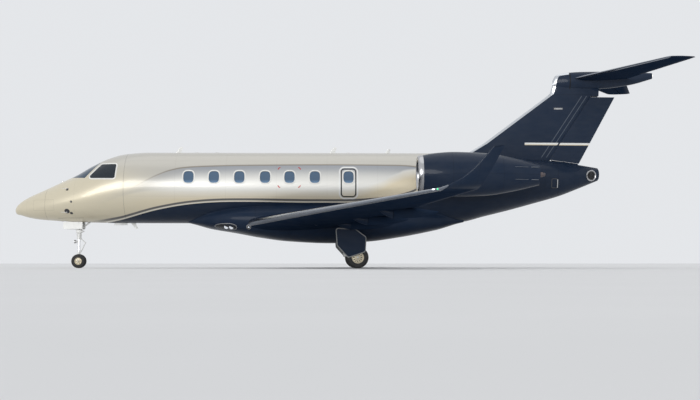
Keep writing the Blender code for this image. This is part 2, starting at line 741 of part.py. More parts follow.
def flap_knuckle(model, flap, label, sign, half_span, hinge):
    """The flap's hinge at the bottom of one fairing: a knuckle that turns against the wing's lip."""
    y, z = sign * half_span, wing_value(WING, half_span, 3) - FLAP_DROP
    slot = box_mesh((hinge - 0.30, y - 0.10, z - 0.05), (hinge, y + 0.10, z + LIP_SLOT))
    boolean(flap, model.piece(f"knuckle_slot_{label}", slot))
    knuckle = rod_mesh(at(hinge, y - KNUCKLE, z), at(hinge, y + KNUCKLE, z), KNUCKLE, 12)
    boolean(flap, model.piece(f"knuckle_{label}", knuckle), "UNION")


def jack_pad(model, obj, name, place):
    """A short round pad whose flat underside takes a jack."""
    pad = rod_mesh(place, place + Vector((0, 0, JACK_PAD_DEPTH)), JACK_PAD, 16)
    boolean(obj, model.piece(f"jack_pad_{name}", pad), "UNION")


def gear_recess(sign):
    """Corners of the flat-topped recess under the wing that takes the main leg's top."""
    station, height = main_leg_station(), wing_value(WING, MAIN_Y, 3)
    return (
        (station - 0.20, sign * MAIN_Y - 0.15, height - 0.5),
        (station + 0.20, sign * MAIN_Y + 0.15, height - RECESS_ROOF),
    )


def main_leg_station():
    """Station of the main leg's upright, ahead of its axle by the trailing link."""
    return MAIN_AXLE - MAIN_LINK


def build_belly_and_wings(model, body_cutter):
    belly = model.piece("belly_fairing", fairing_mesh(), "navy")
    boolean(belly, body_cutter)
    fairing_cutter = model.piece("fairing_grown", fairing_mesh(FITTED_SEAM))
    for side, sign in SIDES:
        rings = [wing_ring(sign, *row) for row in WING]
        wing = model.piece(f"wing_{side}", skin(rings), "navy")
        boolean(wing, fairing_cutter)
        boolean(wing, model.piece(f"gear_recess_{side}", box_mesh(*gear_recess(sign))))
        winglet = [wing_ring(sign, s + (SEAM if i == 0 else 0), e, c, WING[-1, 3] + h, t, cant)
                   for i, (s, e, c, h, t, cant) in enumerate(WINGLET)]
        model.piece(f"winglet_{side}", skin(winglet), "champagne")

        flap_rows = flap_sections(WING, sign, FLAP_HINGE, 4)
        aileron_rows = flap_sections(WING, sign, AILERON_HINGE, 2)
        station, y, z = WING_JACK
        jack_pad(model, wing, side, at(station, sign * y, z))
        hinges = [np.interp(span, *np.array(FLAP_HINGE).T) for span, *_ in CANOES]
        for number, (canoe, hinge) in enumerate(zip(CANOES, hinges)):
            front = canoe_mesh(sign, *canoe, hinge, "front")
            boolean(wing, model.piece(f"canoe_front_{side}_{number}", front), "UNION")
        for name, rows in (("flap", flap_rows), ("aileron", aileron_rows)):
            bay = surface_bay(rows, MOVING_GAP, 0.008, depth=FLAP_DROP - LIP_TOP)
            boolean(wing, model.piece(f"{name}_bay_{side}", bay))
        up = Vector((0, 0, 1))
        flap = model.piece(f"flap_{side}", control_surface(flap_rows, up), "navy",
                           flap_rows[0][0] - Vector((0, 0, FLAP_DROP)))
        aileron = control_surface(aileron_rows, up)
        aileron = model.piece(f"aileron_{side}", aileron, "navy", aileron_rows[0][0])
        hinge_pins(model, aileron, aileron_rows)

        for number, (canoe, hinge) in enumerate(zip(CANOES, hinges)):
            rear = canoe_mesh(sign, *canoe, hinge, "rear")
            boolean(flap, model.piece(f"canoe_rear_{side}_{number}", rear), "UNION")
        boolean(flap, model.piece(f"canoe_trim_{side}", surface_bay(flap_rows, 0.3, 0.001, ahead=0.6)))
        for number, (canoe, hinge) in enumerate(zip(CANOES, hinges)):
            flap_knuckle(model, flap, f"{side}_{number}", sign, canoe[0], hinge)


def bullet_mesh(grow=0.0):
    """The bullet at the fin's head, of elliptical sections, with `grow` added all round each."""
    rings = []
    for station, top, bottom, half in BULLET:
        middle, tall = (top + bottom) / 2, (top - bottom) / 2 + grow
        wide = half + grow
        rings.append([at(station, wide * math.sin(t), middle + tall * math.cos(t)) for t in turns(20)])
    return skin(rings)


def build_tail(model, body_cutter):
    rings = []
    for height, edge, rear, thickness in FIN:
        chord = rear + FIN_OVERHANG - edge
        rings.append([at(edge + x * chord, y * chord, height) for x, y in airfoil(thickness / chord)])
    fin = model.piece("fin", skin(rings), "navy")
    boolean(fin, body_cutter)

    rows = []
    for (station, height), (edge_x, edge_z), nose in zip(RUDDER_HINGE, RUDDER_EDGE, RUDDER_NOSES):
        rows.append((at(station, 0, height), at(edge_x, 0, edge_z), nose))
    side = Vector((0, 1, 0))
    rudder = model.piece("rudder", control_surface(rows, side), "navy", rows[0][0])
    (x0, z0), (x1, z1) = RUDDER_HINGE
    slope = (x1 - x0) / (z1 - z0)
    low, high = z0 - 0.6, RUDDER_ROOF
    bay = [(x0 + (z - z0) * slope - RUDDER_BAY_NOSE, z) for z in (low, high)]
    bay += [(LENGTH, high), (LENGTH, low)]
    boolean(fin, model.piece("rudder_bay", side_prism(bay, -0.6, 0.6)))
    along = (rows[1][0] - rows[0][0]).normalized()
    deck = [at(x, 0, body_row(x)[0]) for x in (16.60, 17.40)]
    deck_normal = Vector((0, -1, 0)).cross(deck[1] - deck[0]).normalized()
    for name, place, way, wall, normal in (
        ("lower", rows[0][0], -along, deck[0], deck_normal),
        ("upper", rows[1][0], along, at(x1, 0, high), Vector((0, 0, -1))),
    ):
        end = place + way * pin_reach(place, way, RUDDER_PIN, wall, normal)
        pin = rod_mesh(place - way * 0.03, end, RUDDER_PIN, 12)
        boolean(rudder, model.piece(f"rudder_{name}_pin", pin), "UNION")

    rings = [wing_ring(-1, *row) for row in STABILISER[::-1]] + [wing_ring(1, *row) for row in STABILISER[1:]]
    stabiliser = model.piece("stabiliser", skin(rings), "navy")
    bullet = model.piece("bullet_body", bullet_mesh())
    for side_name, sign in SIDES:
        elevator_rows = flap_sections(STABILISER, sign, ELEVATOR_HINGE, 2)
        bay = model.piece(f"elevator_bay_{side_name}", surface_bay(elevator_rows, MOVING_GAP, 0.008))
        boolean(stabiliser, bay)
        elevator = control_surface(elevator_rows, Vector((0, 0, 1)))
        elevator = model.piece(f"elevator_{side_name}", elevator, "navy", elevator_rows[0][0])
        hinge_pins(model, elevator, elevator_rows)
    boolean(stabiliser, bullet, "UNION")
    boolean(fin, model.piece("bullet_grown", bullet_mesh(FITTED_SEAM)))


def fan_blades_mesh(centre):
    """All the fan's blades, each a flat strip that twists from the hub to the tip."""
    bm = bmesh.new()
    for number in range(FAN_BLADES):
        spin = Matrix.Rotation(2 * math.pi * number / FAN_BLADES, 3, "X")
        rows = []
        for radius, chord, pitch in ((FAN_HUB - 0.03, 0.07, 20), (FAN_RADIUS, 0.15, 58)):
            way = Vector((math.cos(math.radians(pitch)), math.sin(math.radians(pitch)), 0))
            across = Vector((-way.y, way.x, 0))
            middle = Vector((FAN_REAR - 0.10, 0, radius))
            corners = ((-1, -1), (1, -1), (1, 1), (-1, 1))
            ring = [middle + way * a * chord / 2 + across * b * BLADE_THICK / 2 for a, b in corners]
            rows.append([bm.verts.new(spin @ p + centre) for p in ring])
        for i in range(4):
            j = (i + 1) % 4
            bm.faces.new((rows[0][i], rows[1][i], rows[1][j], rows[0][j]))
        bm.faces.new(rows[0])
        bm.faces.new(rows[1])
    return bm


def build_engines(model, body_cutter):
    along = Vector((1, 0, 0))
    for side, sign in SIDES:
        centre = at(0, sign * ENGINE_Y, ENGINE_Z)
        outer = list(reversed(NACELLE))
        ring = outer + list(DUCT)
        model.turned(f"nacelle_{side}", ring, centre, along, "navy")
        lip = [(x - SEAM, r) for x, r in LIP]
        model.turned(f"intake_lip_{side}", lip, centre, along, "polished")
        solid = [(NACELLE[-1][0], 0.0)] + [(x, r + SEAM) for x, r in outer] + [(NACELLE[0][0], 0.0)]
        grown = model.turned(f"nacelle_grown_{side}", solid, centre, along, closed=False)

        start, chord, height, tall = PYLON
        rings = [
            [at(start + x * chord, sign * y, height + z * chord) for x, z in airfoil(tall / chord)]
            for y in (0.55, ENGINE_Y - 0.2)
        ]
        pylon = model.piece(f"pylon_{side}", skin(rings), "navy")
        boolean(pylon, body_cutter)
        boolean(pylon, grown)

        core = [(x, r) for x, r in reversed(CORE)] + [(FAN_REAR + 0.1, 0.05), (FAN_REAR + SEAM, 0.05)]
        core = [(CORE[-1][0], 0.0)] + core + [(FAN_REAR + SEAM, 0.0)]
        engine = model.turned(f"engine_{side}", core, centre, along, "titanium", closed=False)
        for number, angle in enumerate(STRUT_ANGLES):
            strut = box_mesh((14.2, -0.02, 0.25), (14.9, 0.02, STRUT_REACH))
            spin = Matrix.Rotation(math.radians(angle), 4, "X")
            place = Matrix.Translation(centre) @ spin @ Matrix.Translation(-at(0, 0, 0))
            bmesh.ops.transform(strut, matrix=place, verts=strut.verts)
            boolean(engine, model.piece(f"engine_strut_{side}_{number}", strut), "UNION")

        hub = [(FAN_REAR, 0.0), (FAN_REAR, FAN_HUB), (FAN_REAR - 0.20, FAN_HUB), (FAN_REAR - 0.34, 0.11),
               (FAN_FRONT, 0.0)]
        fan = model.turned(f"fan_{side}", hub, centre, along, "titanium", sides=24, closed=False)
        boolean(fan, model.piece(f"fan_blades_{side}", fan_blades_mesh(centre)), "UNION")


def tyre_profile(middle, width, radius, rim):
    """Closed section of a tyre: (along the axle, radius)."""
    half, shoulder = width / 2, width * 0.22
    side = [
        (0.80, rim), (1.0, rim + 0.25 * (radius - rim)), (1.0, radius - shoulder),
        (0.80, radius - shoulder * 0.30), (0.45, radius),
    ]
    side += [(-out, r) for out, r in reversed(side)]
    return [(middle + out * half, r) for out, r in side]


def build_wheels(model, prefix, centre, track, radius, width, rim, axle):
    """Twin tyres on one pair of rims, which the axle joins."""
    across = Vector((0, 1, 0))
    half = width * 0.42
    out, inside = track + half, track - half
    profile = [
        (out - 0.01, 0.0), (out - 0.01, rim * 0.30), (out - 0.035, rim * 0.38), (out - 0.035, rim * 0.80),
        (out, rim), (inside, rim), (inside + 0.02, rim * 0.40), (inside, axle),
    ]
    profile += [(-along, r) for along, r in reversed(profile)]
    model.turned(f"{prefix}_rims", profile, centre, across, "white", WHEEL_SIDES, closed=False)
    for name, middle in (("left", -track), ("right", track)):
        tyre = tyre_profile(middle, width, radius, rim + SEAM)
        model.turned(f"{prefix}_tyre_{name}", tyre, centre, across, "rubber", WHEEL_SIDES)


def build_nose_gear(model):
    axle_z = NOSE_TYRE - AXIS_HEIGHT
    centre = at(NOSE_AXLE, 0, axle_z)
    build_wheels(model, "nose", centre, NOSE_TRACK, NOSE_TYRE, NOSE_TYRE_WIDTH, NOSE_RIM, NOSE_AXLE_RADIUS)

    top = FLOOR_TOP - FLOOR_THICK - SEAM
    cylinder = rod_mesh(at(NOSE_AXLE, 0, NOSE_FORK_TOP), at(NOSE_AXLE, 0, top), 0.065, 20)
    cylinder = model.piece("nose_leg_cylinder", cylinder, "white")
    crown = box_mesh((NOSE_AXLE - 0.10, -0.17, -0.98), (NOSE_AXLE + 0.10, 0.17, -0.86))
    boolean(cylinder, model.piece("nose_trunnion", crown), "UNION")
    brace = rod_mesh(at(NOSE_AXLE, 0, -1.35), at(NOSE_AXLE + 0.75, 0, -0.80), 0.03, 10)
    boolean(cylinder, model.piece("nose_brace", brace), "UNION")

    fork_top = NOSE_FORK_TOP - SEAM
    fork = rod_mesh(at(NOSE_AXLE, 0, axle_z + 0.24), at(NOSE_AXLE, 0, fork_top), 0.040, 20)
    fork = model.piece("nose_leg_fork", fork, "white", at(NOSE_AXLE, 0, fork_top))
    blade = rod_mesh(at(NOSE_AXLE, 0, axle_z - 0.045), at(NOSE_AXLE, 0, axle_z + 0.30), 0.028, 16)
    boolean(fork, model.piece("nose_blade", blade), "UNION")
    collar = rod_mesh(at(NOSE_AXLE, 0, fork_top - 0.09), at(NOSE_AXLE, 0, fork_top), 0.075, 20)
    boolean(fork, model.piece("nose_collar", collar), "UNION")
    link = box_mesh((NOSE_AXLE + 0.02, -0.02, fork_top - 0.07), (NOSE_AXLE + 0.20, 0.02, fork_top - 0.03))
    boolean(fork, model.piece("nose_link", link), "UNION")
    start, end = at(NOSE_AXLE + 0.19, 0, fork_top - 0.05), at(NOSE_AXLE + 0.02, 0, axle_z + 0.14)
    boolean(fork, model.piece("nose_lower_link", rod_mesh(start, end, 0.018, 8)), "UNION")
    lamp = rod_mesh(at(NOSE_AXLE - 0.16, 0, -1.72), at(NOSE_AXLE - 0.02, 0, -1.72), 0.055, 16)
    boolean(fork, model.piece("nose_lamp", lamp), "UNION")
    hole = rod_mesh(at(NOSE_AXLE, -0.2, axle_z), at(NOSE_AXLE, 0.2, axle_z), NOSE_AXLE_RADIUS + AXLE_PLAY, 20)
    boolean(fork, model.piece("nose_axle_hole", hole))

    for side, sign in SIDES:
        panel = side_prism(rounded(NOSE_DOOR, 0.04), sign * 0.200, sign * 0.222)
        door = model.piece(f"nose_gear_door_{side}", panel, "white")
        front, rear = NOSE_DOOR_ARM
        arm = box_mesh((front, sign * 0.150, -1.17), (rear, sign * 0.205, -1.135))
        boolean(door, model.piece(f"nose_door_arm_{side}", arm), "UNION")
        hinge = box_mesh((front, sign * 0.150, -1.16), (rear, sign * (NOSE_WELL[2] - SEAM), -1.05))
        boolean(door, model.piece(f"nose_door_hinge_{side}", hinge), "UNION")


def build_main_gear(model):
    axle_z = MAIN_TYRE - AXIS_HEIGHT
    knee_x, knee_z = main_leg_station(), axle_z + 0.10
    for side, sign in SIDES:
        y = sign * MAIN_Y
        build_wheels(model, f"main_{side}", at(MAIN_AXLE, y, axle_z), MAIN_TRACK, MAIN_TYRE, MAIN_TYRE_WIDTH,
                     MAIN_RIM, MAIN_AXLE_RADIUS)
        roof = wing_value(WING, MAIN_Y, 3) - RECESS_ROOF - SEAM
        post = rod_mesh(at(knee_x, y, knee_z), at(knee_x, y, roof), MAIN_LEG, 16)
        leg = model.piece(f"main_leg_{side}", post, "white")
        link = rod_mesh(at(knee_x, y, knee_z), at(MAIN_AXLE, y, axle_z), 0.045, 12)
        boolean(leg, model.piece(f"main_link_{side}", link), "UNION")
        boss = rod_mesh(at(MAIN_AXLE, y - 0.055, axle_z), at(MAIN_AXLE, y + 0.055, axle_z), 0.065, 16)
        boolean(leg, model.piece(f"main_boss_{side}", boss), "UNION")
        knee = rod_mesh(at(knee_x, y - 0.055, knee_z), at(knee_x, y + 0.055, knee_z), 0.070, 16)
        boolean(leg, model.piece(f"main_knee_{side}", knee), "UNION")
        start, end = at(MAIN_AXLE - 0.08, y, axle_z + 0.03), at(knee_x + 0.03, y, knee_z + 0.62)
        boolean(leg, model.piece(f"main_shock_{side}", rod_mesh(start, end, 0.035, 12)), "UNION")
        start, end = (at(MAIN_AXLE, y + reach, axle_z) for reach in (-0.2, 0.2))
        hole = rod_mesh(start, end, MAIN_AXLE_RADIUS + AXLE_PLAY, 20)
        boolean(leg, model.piece(f"main_axle_hole_{side}", hole))

        inner, outer = MAIN_DOOR_OUT
        panel = side_prism(rounded(MAIN_DOOR, 0.05), y + sign * inner, y + sign * outer)
        door = model.piece(f"main_gear_door_{side}", panel, "navy")
        for name, z in MAIN_DOOR_STRUTS:
            start, end = (at(knee_x, y + sign * out, z) for out in (MAIN_LEG + SEAM, inner + 0.01))
            strut = rod_mesh(start, end, 0.02, 8)
            boolean(door, model.piece(f"main_door_{name}_{side}", strut), "UNION")


def main():
    model = Model()
    body_cutter = model.piece("body_grown", body_mesh(0.0, BODY_END, FITTED_SEAM))
    build_fuselage(model)
    build_interior(model)
    build_belly_and_wings(model, body_cutter)
    build_tail(model, body_cutter)
    build_engines(model, body_cutter)
    build_nose_gear(model)
    build_main_gear(model)


if __name__ == "__main__":
    main()
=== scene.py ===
"""Looks of a twin-engined business jet: skins, paint, glass, cabin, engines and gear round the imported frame.

Places are written as (station, y, z): the station is measured aft from the nose tip and z from the axis
of the cabin tube, as in the part's source. world() turns them into the frame's coordinates, in metres.
"""

import json
import logging
import math
from dataclasses import dataclass, field
from enum import Enum
from typing import Callable, Sequence

import bpy
import numpy as np
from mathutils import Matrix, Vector

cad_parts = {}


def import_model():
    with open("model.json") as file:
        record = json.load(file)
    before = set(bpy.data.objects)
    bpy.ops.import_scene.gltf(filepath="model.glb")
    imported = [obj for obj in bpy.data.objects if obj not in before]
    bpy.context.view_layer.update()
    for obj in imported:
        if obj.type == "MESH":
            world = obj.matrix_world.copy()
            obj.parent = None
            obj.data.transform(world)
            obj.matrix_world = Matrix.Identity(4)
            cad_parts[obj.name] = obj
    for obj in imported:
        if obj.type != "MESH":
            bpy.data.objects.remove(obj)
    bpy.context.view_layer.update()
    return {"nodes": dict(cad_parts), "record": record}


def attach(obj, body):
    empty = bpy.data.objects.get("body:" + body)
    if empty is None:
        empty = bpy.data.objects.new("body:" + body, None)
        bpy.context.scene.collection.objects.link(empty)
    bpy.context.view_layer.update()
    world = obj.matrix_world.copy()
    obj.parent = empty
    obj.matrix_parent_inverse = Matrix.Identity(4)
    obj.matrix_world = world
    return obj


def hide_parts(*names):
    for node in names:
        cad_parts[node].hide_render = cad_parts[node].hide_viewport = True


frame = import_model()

LOG = logging.getLogger("business_jet")

ORIGIN_STATION = 10.37
AXIS_HEIGHT = 2.56
SEAM = 0.0003

# Fuselage sections: station, top, bottom, half width, height of the widest point
BODY = np.array([
    (0.000, -0.730, -0.730, 0.000, -0.730),
    (0.006, -0.700, -0.760, 0.030, -0.730),
    (0.060, -0.590, -0.850, 0.130, -0.720),
    (0.190, -0.465, -0.885, 0.250, -0.710),
    (0.450, -0.305, -0.960, 0.400, -0.680),
    (0.820, -0.135, -1.020, 0.560, -0.630),
    (1.330, 0.100, -1.060, 0.730, -0.550),
    (1.960, 0.400, -1.110, 0.880, -0.420),
    (2.470, 0.695, -1.115, 0.980, -0.300),
    (2.970, 0.930, -1.125, 1.050, -0.160),
    (3.480, 1.070, -1.130, 1.100, -0.060),
    (4.300, 1.130, -1.130, 1.130, 0.000),
    (13.30, 1.130, -1.130, 1.130, 0.000),
    (14.20, 1.090, -1.090, 1.100, 0.020),
    (15.00, 1.020, -0.900, 1.020, 0.080),
    (15.80, 0.950, -0.700, 0.880, 0.140),
    (16.60, 0.930, -0.480, 0.720, 0.220),
    (17.40, 0.865, -0.250, 0.550, 0.300),
    (18.00, 0.775, -0.020, 0.410, 0.380),
    (18.66, 0.660, 0.250, 0.200, 0.455),
])
RADOME_END, FORWARD_END, CABIN_END, AFT_END, BODY_END = 1.08, 3.60, 13.20, 17.30, 18.66

# Belly fairing sections: station, half width, bottom, top
FAIRING = np.array([
    (5.45, 0.30, -1.150, -0.95),
    (6.27, 0.85, -1.330, -0.75),
    (7.03, 1.12, -1.460, -0.62),
    (7.78, 1.25, -1.600, -0.55),
    (8.70, 1.30, -1.720, -0.52),
    (10.00, 1.30, -1.780, -0.52),
    (11.20, 1.28, -1.730, -0.55),
    (12.30, 1.15, -1.580, -0.62),
    (13.40, 0.80, -1.360, -0.75),
    (14.30, 0.30, -1.130, -0.95),
])

# Openings as side outlines (station, z)
WINDSHIELD = ((1.60, 0.31), (2.34, 0.26), (2.74, 0.75), (2.70, 1.20), (1.60, 1.20))
COCKPIT_WINDOW = ((2.44, 0.25), (2.84, 0.705), (3.34, 0.70), (3.32, 0.235))
WINDOW_STATIONS = (5.62, 6.41, 7.20, 8.00, 8.76, 9.55, 10.60)
WINDOW_SIZE = (0.32, 0.37)
WINDOW_Z = 0.275
# Sections of a window's seal and pale surround: distance out from its outline, lift off the skin
SEAL_SECTION = ((-0.0005, -0.011), (-0.016, -0.011), (-0.014, 0.0015), (-0.0005, 0.003))
SURROUND_SECTION = (
    (0.0, -0.004), (0.0, 0.0025), (0.006, 0.005), (0.034, 0.004), (0.040, 0.0015), (0.040, -0.004),
)
EXIT = (10.35, 10.85, -0.36, 0.56)
DOOR = (3.95, 4.72, -0.60, 0.86)
# A distance from the middle plane that is outside every skin of the hull
OUTSIDE = 1.4

# Wing sections: half span, leading edge, chord, height, thickness
WING = np.array([
    (0.90, 7.310, 4.05, -1.167, 0.125),
    (1.80, 7.850, 3.60, -1.115, 0.125),
    (3.50, 8.870, 2.85, -1.016, 0.120),
    (5.70, 10.190, 2.15, -0.887, 0.115),
    (9.60, 12.530, 0.95, -0.656, 0.110),
])
# Winglet sections: half span, leading edge, chord, height over the tip, thickness, cant in degrees
WINGLET = np.array([
    (9.60, 12.53, 0.95, 0.00, 0.110, 0),
    (9.86, 12.80, 0.75, 0.10, 0.100, 45),
    (9.97, 13.10, 0.55, 0.27, 0.090, 76),
    (10.115, 13.80, 0.24, 0.98, 0.080, 82),
])
FLAP_HINGE = ((1.78, 10.64), (6.00, 11.93))
AILERON_HINGE = ((6.06, 11.99), (9.30, 13.06))
FLAP_DROP = 0.30
# Flap-track fairings: half span, front end, rear end, half width
CANOES = ((2.10, 10.10, 11.95, 0.085), (3.60, 10.60, 12.30, 0.080), (5.60, 11.30, 12.95, 0.070))

# Fin sections: height, leading edge, trailing edge, thickness
FIN = np.array([
    (0.60, 13.90, 17.02, 0.20),
    (1.13, 14.45, 17.27, 0.26),
    (1.45, 14.98, 17.48, 0.25),
    (3.07, 17.15, 18.56, 0.19),
    (3.34, 17.23, 18.72, 0.18),
])
RUDDER_HINGE = ((17.13, 0.93), (18.486, 2.97))
RUDDER_EDGE = ((18.07, 0.805), (19.26, 2.97))
RUDDER_NOSES = (0.062, 0.048)
RUDDER_ROOF = 3.00
RUDDER_BAY_NOSE = 0.085
FIN_OVERHANG = 0.9

# Stabiliser sections: half span, leading edge, chord, height, thickness
STABILISER = np.array([
    (0.00, 17.84, 1.76, 3.56, 0.095),
    (3.55, 19.88, 0.86, 3.64, 0.090),
    (3.67, 20.05, 0.62, 3.64, 0.060),
])
ELEVATOR_HINGE = ((0.42, 19.20), (3.45, 20.40))
# Bullet sections: station, top, bottom, half width
BULLET = np.array([
    (17.24, 3.50, 3.30, 0.04),
    (17.33, 3.66, 3.26, 0.08),
    (17.48, 3.73, 3.24, 0.11),
    (17.75, 3.77, 3.22, 0.16),
    (18.20, 3.80, 3.22, 0.20),
    (19.00, 3.81, 3.26, 0.20),
    (19.80, 3.80, 3.38, 0.15),
    (20.50, 3.77, 3.58, 0.06),
])

# Engine profiles: station, radius
ENGINE_Y, ENGINE_Z = 1.90, 0.30
NACELLE = np.array([
    (12.84, 0.585), (13.20, 0.650), (13.80, 0.690), (14.80, 0.650), (15.70, 0.500), (16.40, 0.330),
])
DUCT = np.array([(12.84, 0.470), (13.20, 0.490), (13.70, 0.500), (15.00, 0.500), (16.40, 0.295)])
CORE = np.array([(13.70, 0.18), (13.80, 0.34), (15.50, 0.34), (16.00, 0.20), (16.60, 0.05)])
FAN_FRONT, FAN_REAR, FAN_RADIUS, FAN_HUB = 13.10, 13.60, 0.482, 0.17

# Landing gear
NOSE_AXLE, NOSE_TYRE, NOSE_TRACK, NOSE_TYRE_WIDTH, NOSE_RIM = 2.03, 0.22, 0.085, 0.10, 0.115
MAIN_AXLE, MAIN_Y, MAIN_TYRE, MAIN_TRACK, MAIN_TYRE_WIDTH, MAIN_RIM = 10.87, 1.52, 0.33, 0.150, 0.17, 0.185
MAIN_LINK = 0.34
# Gear doors as side outlines (station, z)
NOSE_DOOR = ((1.57, -1.32), (2.17, -1.32), (2.17, -1.10), (1.57, -1.10))
MAIN_DOOR = ((10.22, -1.36), (10.26, -1.86), (10.58, -2.21), (11.08, -2.04), (11.10, -1.62), (10.80, -1.40))

# Blade antennas: root station, root chord, tip chord, sweep of the tip, height of the tip
BLADES = ((5.02, 0.20, 0.11, 0.19, 0.25), (9.95, 0.20, 0.11, 0.19, 0.25), (11.75, 0.16, 0.09, 0.14, 0.19),
          (3.62, 0.17, 0.09, 0.20, -0.24))

# The record's body and material slot of each CAD node
BODY_OF = {node: body for body, nodes in frame["record"]["behaviour"]["bodies"].items() for node in nodes}
SLOT_OF = {row["node"]: row["material_slot"] for row in frame["record"]["subparts"]}

Points = np.ndarray
Colour = tuple[float, float, float]
Profile = Sequence[tuple[float, float]]


class Side(Enum):
    """The two sides of the aircraft; the value is the sign of y."""

    LEFT = -1
    RIGHT = 1

    @property
    def label(self) -> str:
        """The side's name as the nodes have it."""
        return self.name.lower()


def world(station: Points | float, y: Points | float, z: Points | float) -> Points:
    """Places (station, y, z) as frame coordinates, stacked on a last axis."""
    return np.stack(np.broadcast_arrays(
        np.asarray(station, float) - ORIGIN_STATION, np.asarray(y, float), np.asarray(z, float) + AXIS_HEIGHT,
    ), axis=-1)


def smooth_through(at: Points, knots: Points, values: Points) -> Points:
    """A monotone cubic through known values.

    The slope at an inner knot is the weighted harmonic mean of the slopes of the chords beside it, or nought
    where they differ in sign, so that the curve never overshoots.

    Args:
        at: where to read the curve.
        knots: rising places of the known values.
        values: the known values.

    Returns:
        The curve's values, in the shape of `at`.
    """
    at, knots, values = np.asarray(at, float), np.asarray(knots, float), np.asarray(values, float)
    step = np.diff(knots)
    chord = np.diff(values) / step
    slope = np.zeros_like(values)
    alike = chord[:-1] * chord[1:] > 0
    first, second = np.where(alike, chord[:-1], 1.0), np.where(alike, chord[1:], 1.0)
    near, far = 2 * step[1:] + step[:-1], step[1:] + 2 * step[:-1]
    slope[1:-1] = np.where(alike, (near + far) / (near / first + far / second), 0.0)
    slope[0], slope[-1] = chord[0], chord[-1]
    i = np.clip(np.searchsorted(knots, at, side="right") - 1, 0, len(knots) - 2)
    width = step[i]
    t = (at - knots[i]) / width
    return (
        values[i] * (1 + 2 * t) * (1 - t) ** 2 + slope[i] * width * t * (1 - t) ** 2
        + values[i + 1] * t * t * (3 - 2 * t) + slope[i + 1] * width * t * t * (t - 1)
    )


def circle(count: int) -> Points:
    """Angles evenly round a full turn."""
    return np.linspace(0, 2 * math.pi, count, endpoint=False)


def oval(half_wide: float, half_tall: float, power: float, count: int) -> Points:
    """A superellipse |u/a|^p + |v/b|^p = 1 as (count, 2) points."""
    wave = np.stack([np.cos(circle(count)), np.sin(circle(count))], axis=-1)
    return np.sign(wave) * np.abs(wave) ** (2 / power) * (half_wide, half_tall)


def unit(vectors: Points) -> Points:
    """Vectors of length 1 that point the same way."""
    return vectors / np.maximum(np.linalg.norm(vectors, axis=-1, keepdims=True), 1e-9)


def round_corners(outline: Profile, radius: float, steps: int = 6) -> Points:
    """A polygon with each corner replaced by an arc that touches both its sides.

    Args:
        outline: the corners in order.
        radius: the arcs' radius.
        steps: stretches in each arc.

    Returns:
        The rounded outline's points.
    """
    corners = np.asarray(outline, float)
    rows = []
    for i, corner in enumerate(corners):
        before, after = unit(corners[i - 1] - corner), unit(corners[(i + 1) % len(corners)] - corner)
        half = math.acos(float(np.clip(before @ after, -1, 1))) / 2
        centre = corner + unit(before + after) * radius / math.sin(half)
        reach = radius / math.tan(half)
        first, last = corner + before * reach - centre, corner + after * reach - centre
        turn = math.copysign(math.pi - 2 * half, first[0] * last[1] - first[1] * last[0])
        angle = turn * np.linspace(0, 1, steps + 1)[:, None]
        rows.append(centre + first * np.cos(angle) + np.array([-first[1], first[0]]) * np.sin(angle))
    return np.concatenate(rows)


def evenly(outline: Points, count: int) -> Points:
    """A closed outline read at even steps of its own length.

    Args:
        outline: its points in order.
        count: how many points to read.

    Returns:
        (count, 2) points.
    """
    closed = np.concatenate([outline, outline[:1]])
    length = np.concatenate([[0.0], np.linalg.norm(np.diff(closed, axis=0), axis=1).cumsum()])
    step = np.linspace(0, length[-1], count, endpoint=False)
    return np.stack([np.interp(step, length, closed[:, i]) for i in (0, 1)], axis=1)


def grown(outline: Points, gap: float) -> Points:
    """A closed outline moved outwards by a gap, each point square to the line between its neighbours.

    Args:
        outline: its points in order.
        gap: how far out; less than nought is inwards.

    Returns:
        The moved points.
    """
    outline = np.asarray(outline, float)
    along = np.roll(outline, -1, axis=0) - np.roll(outline, 1, axis=0)
    normal = unit(np.stack([along[:, 1], -along[:, 0]], axis=1))
    away = ((outline - outline.mean(axis=0)) * normal).sum()
    return outline + normal * math.copysign(gap, away)


def upright(station: Points, z: Points, y: Points | float) -> Points:
    """world() for a plate that stands along the aircraft: its outline is in (station, z), its level in y."""
    return world(station, y, z)


def in_scene(obj: bpy.types.Object) -> bpy.types.Object:
    """Links an object to the scene's own collection."""
    bpy.context.scene.collection.objects.link(obj)
    return obj


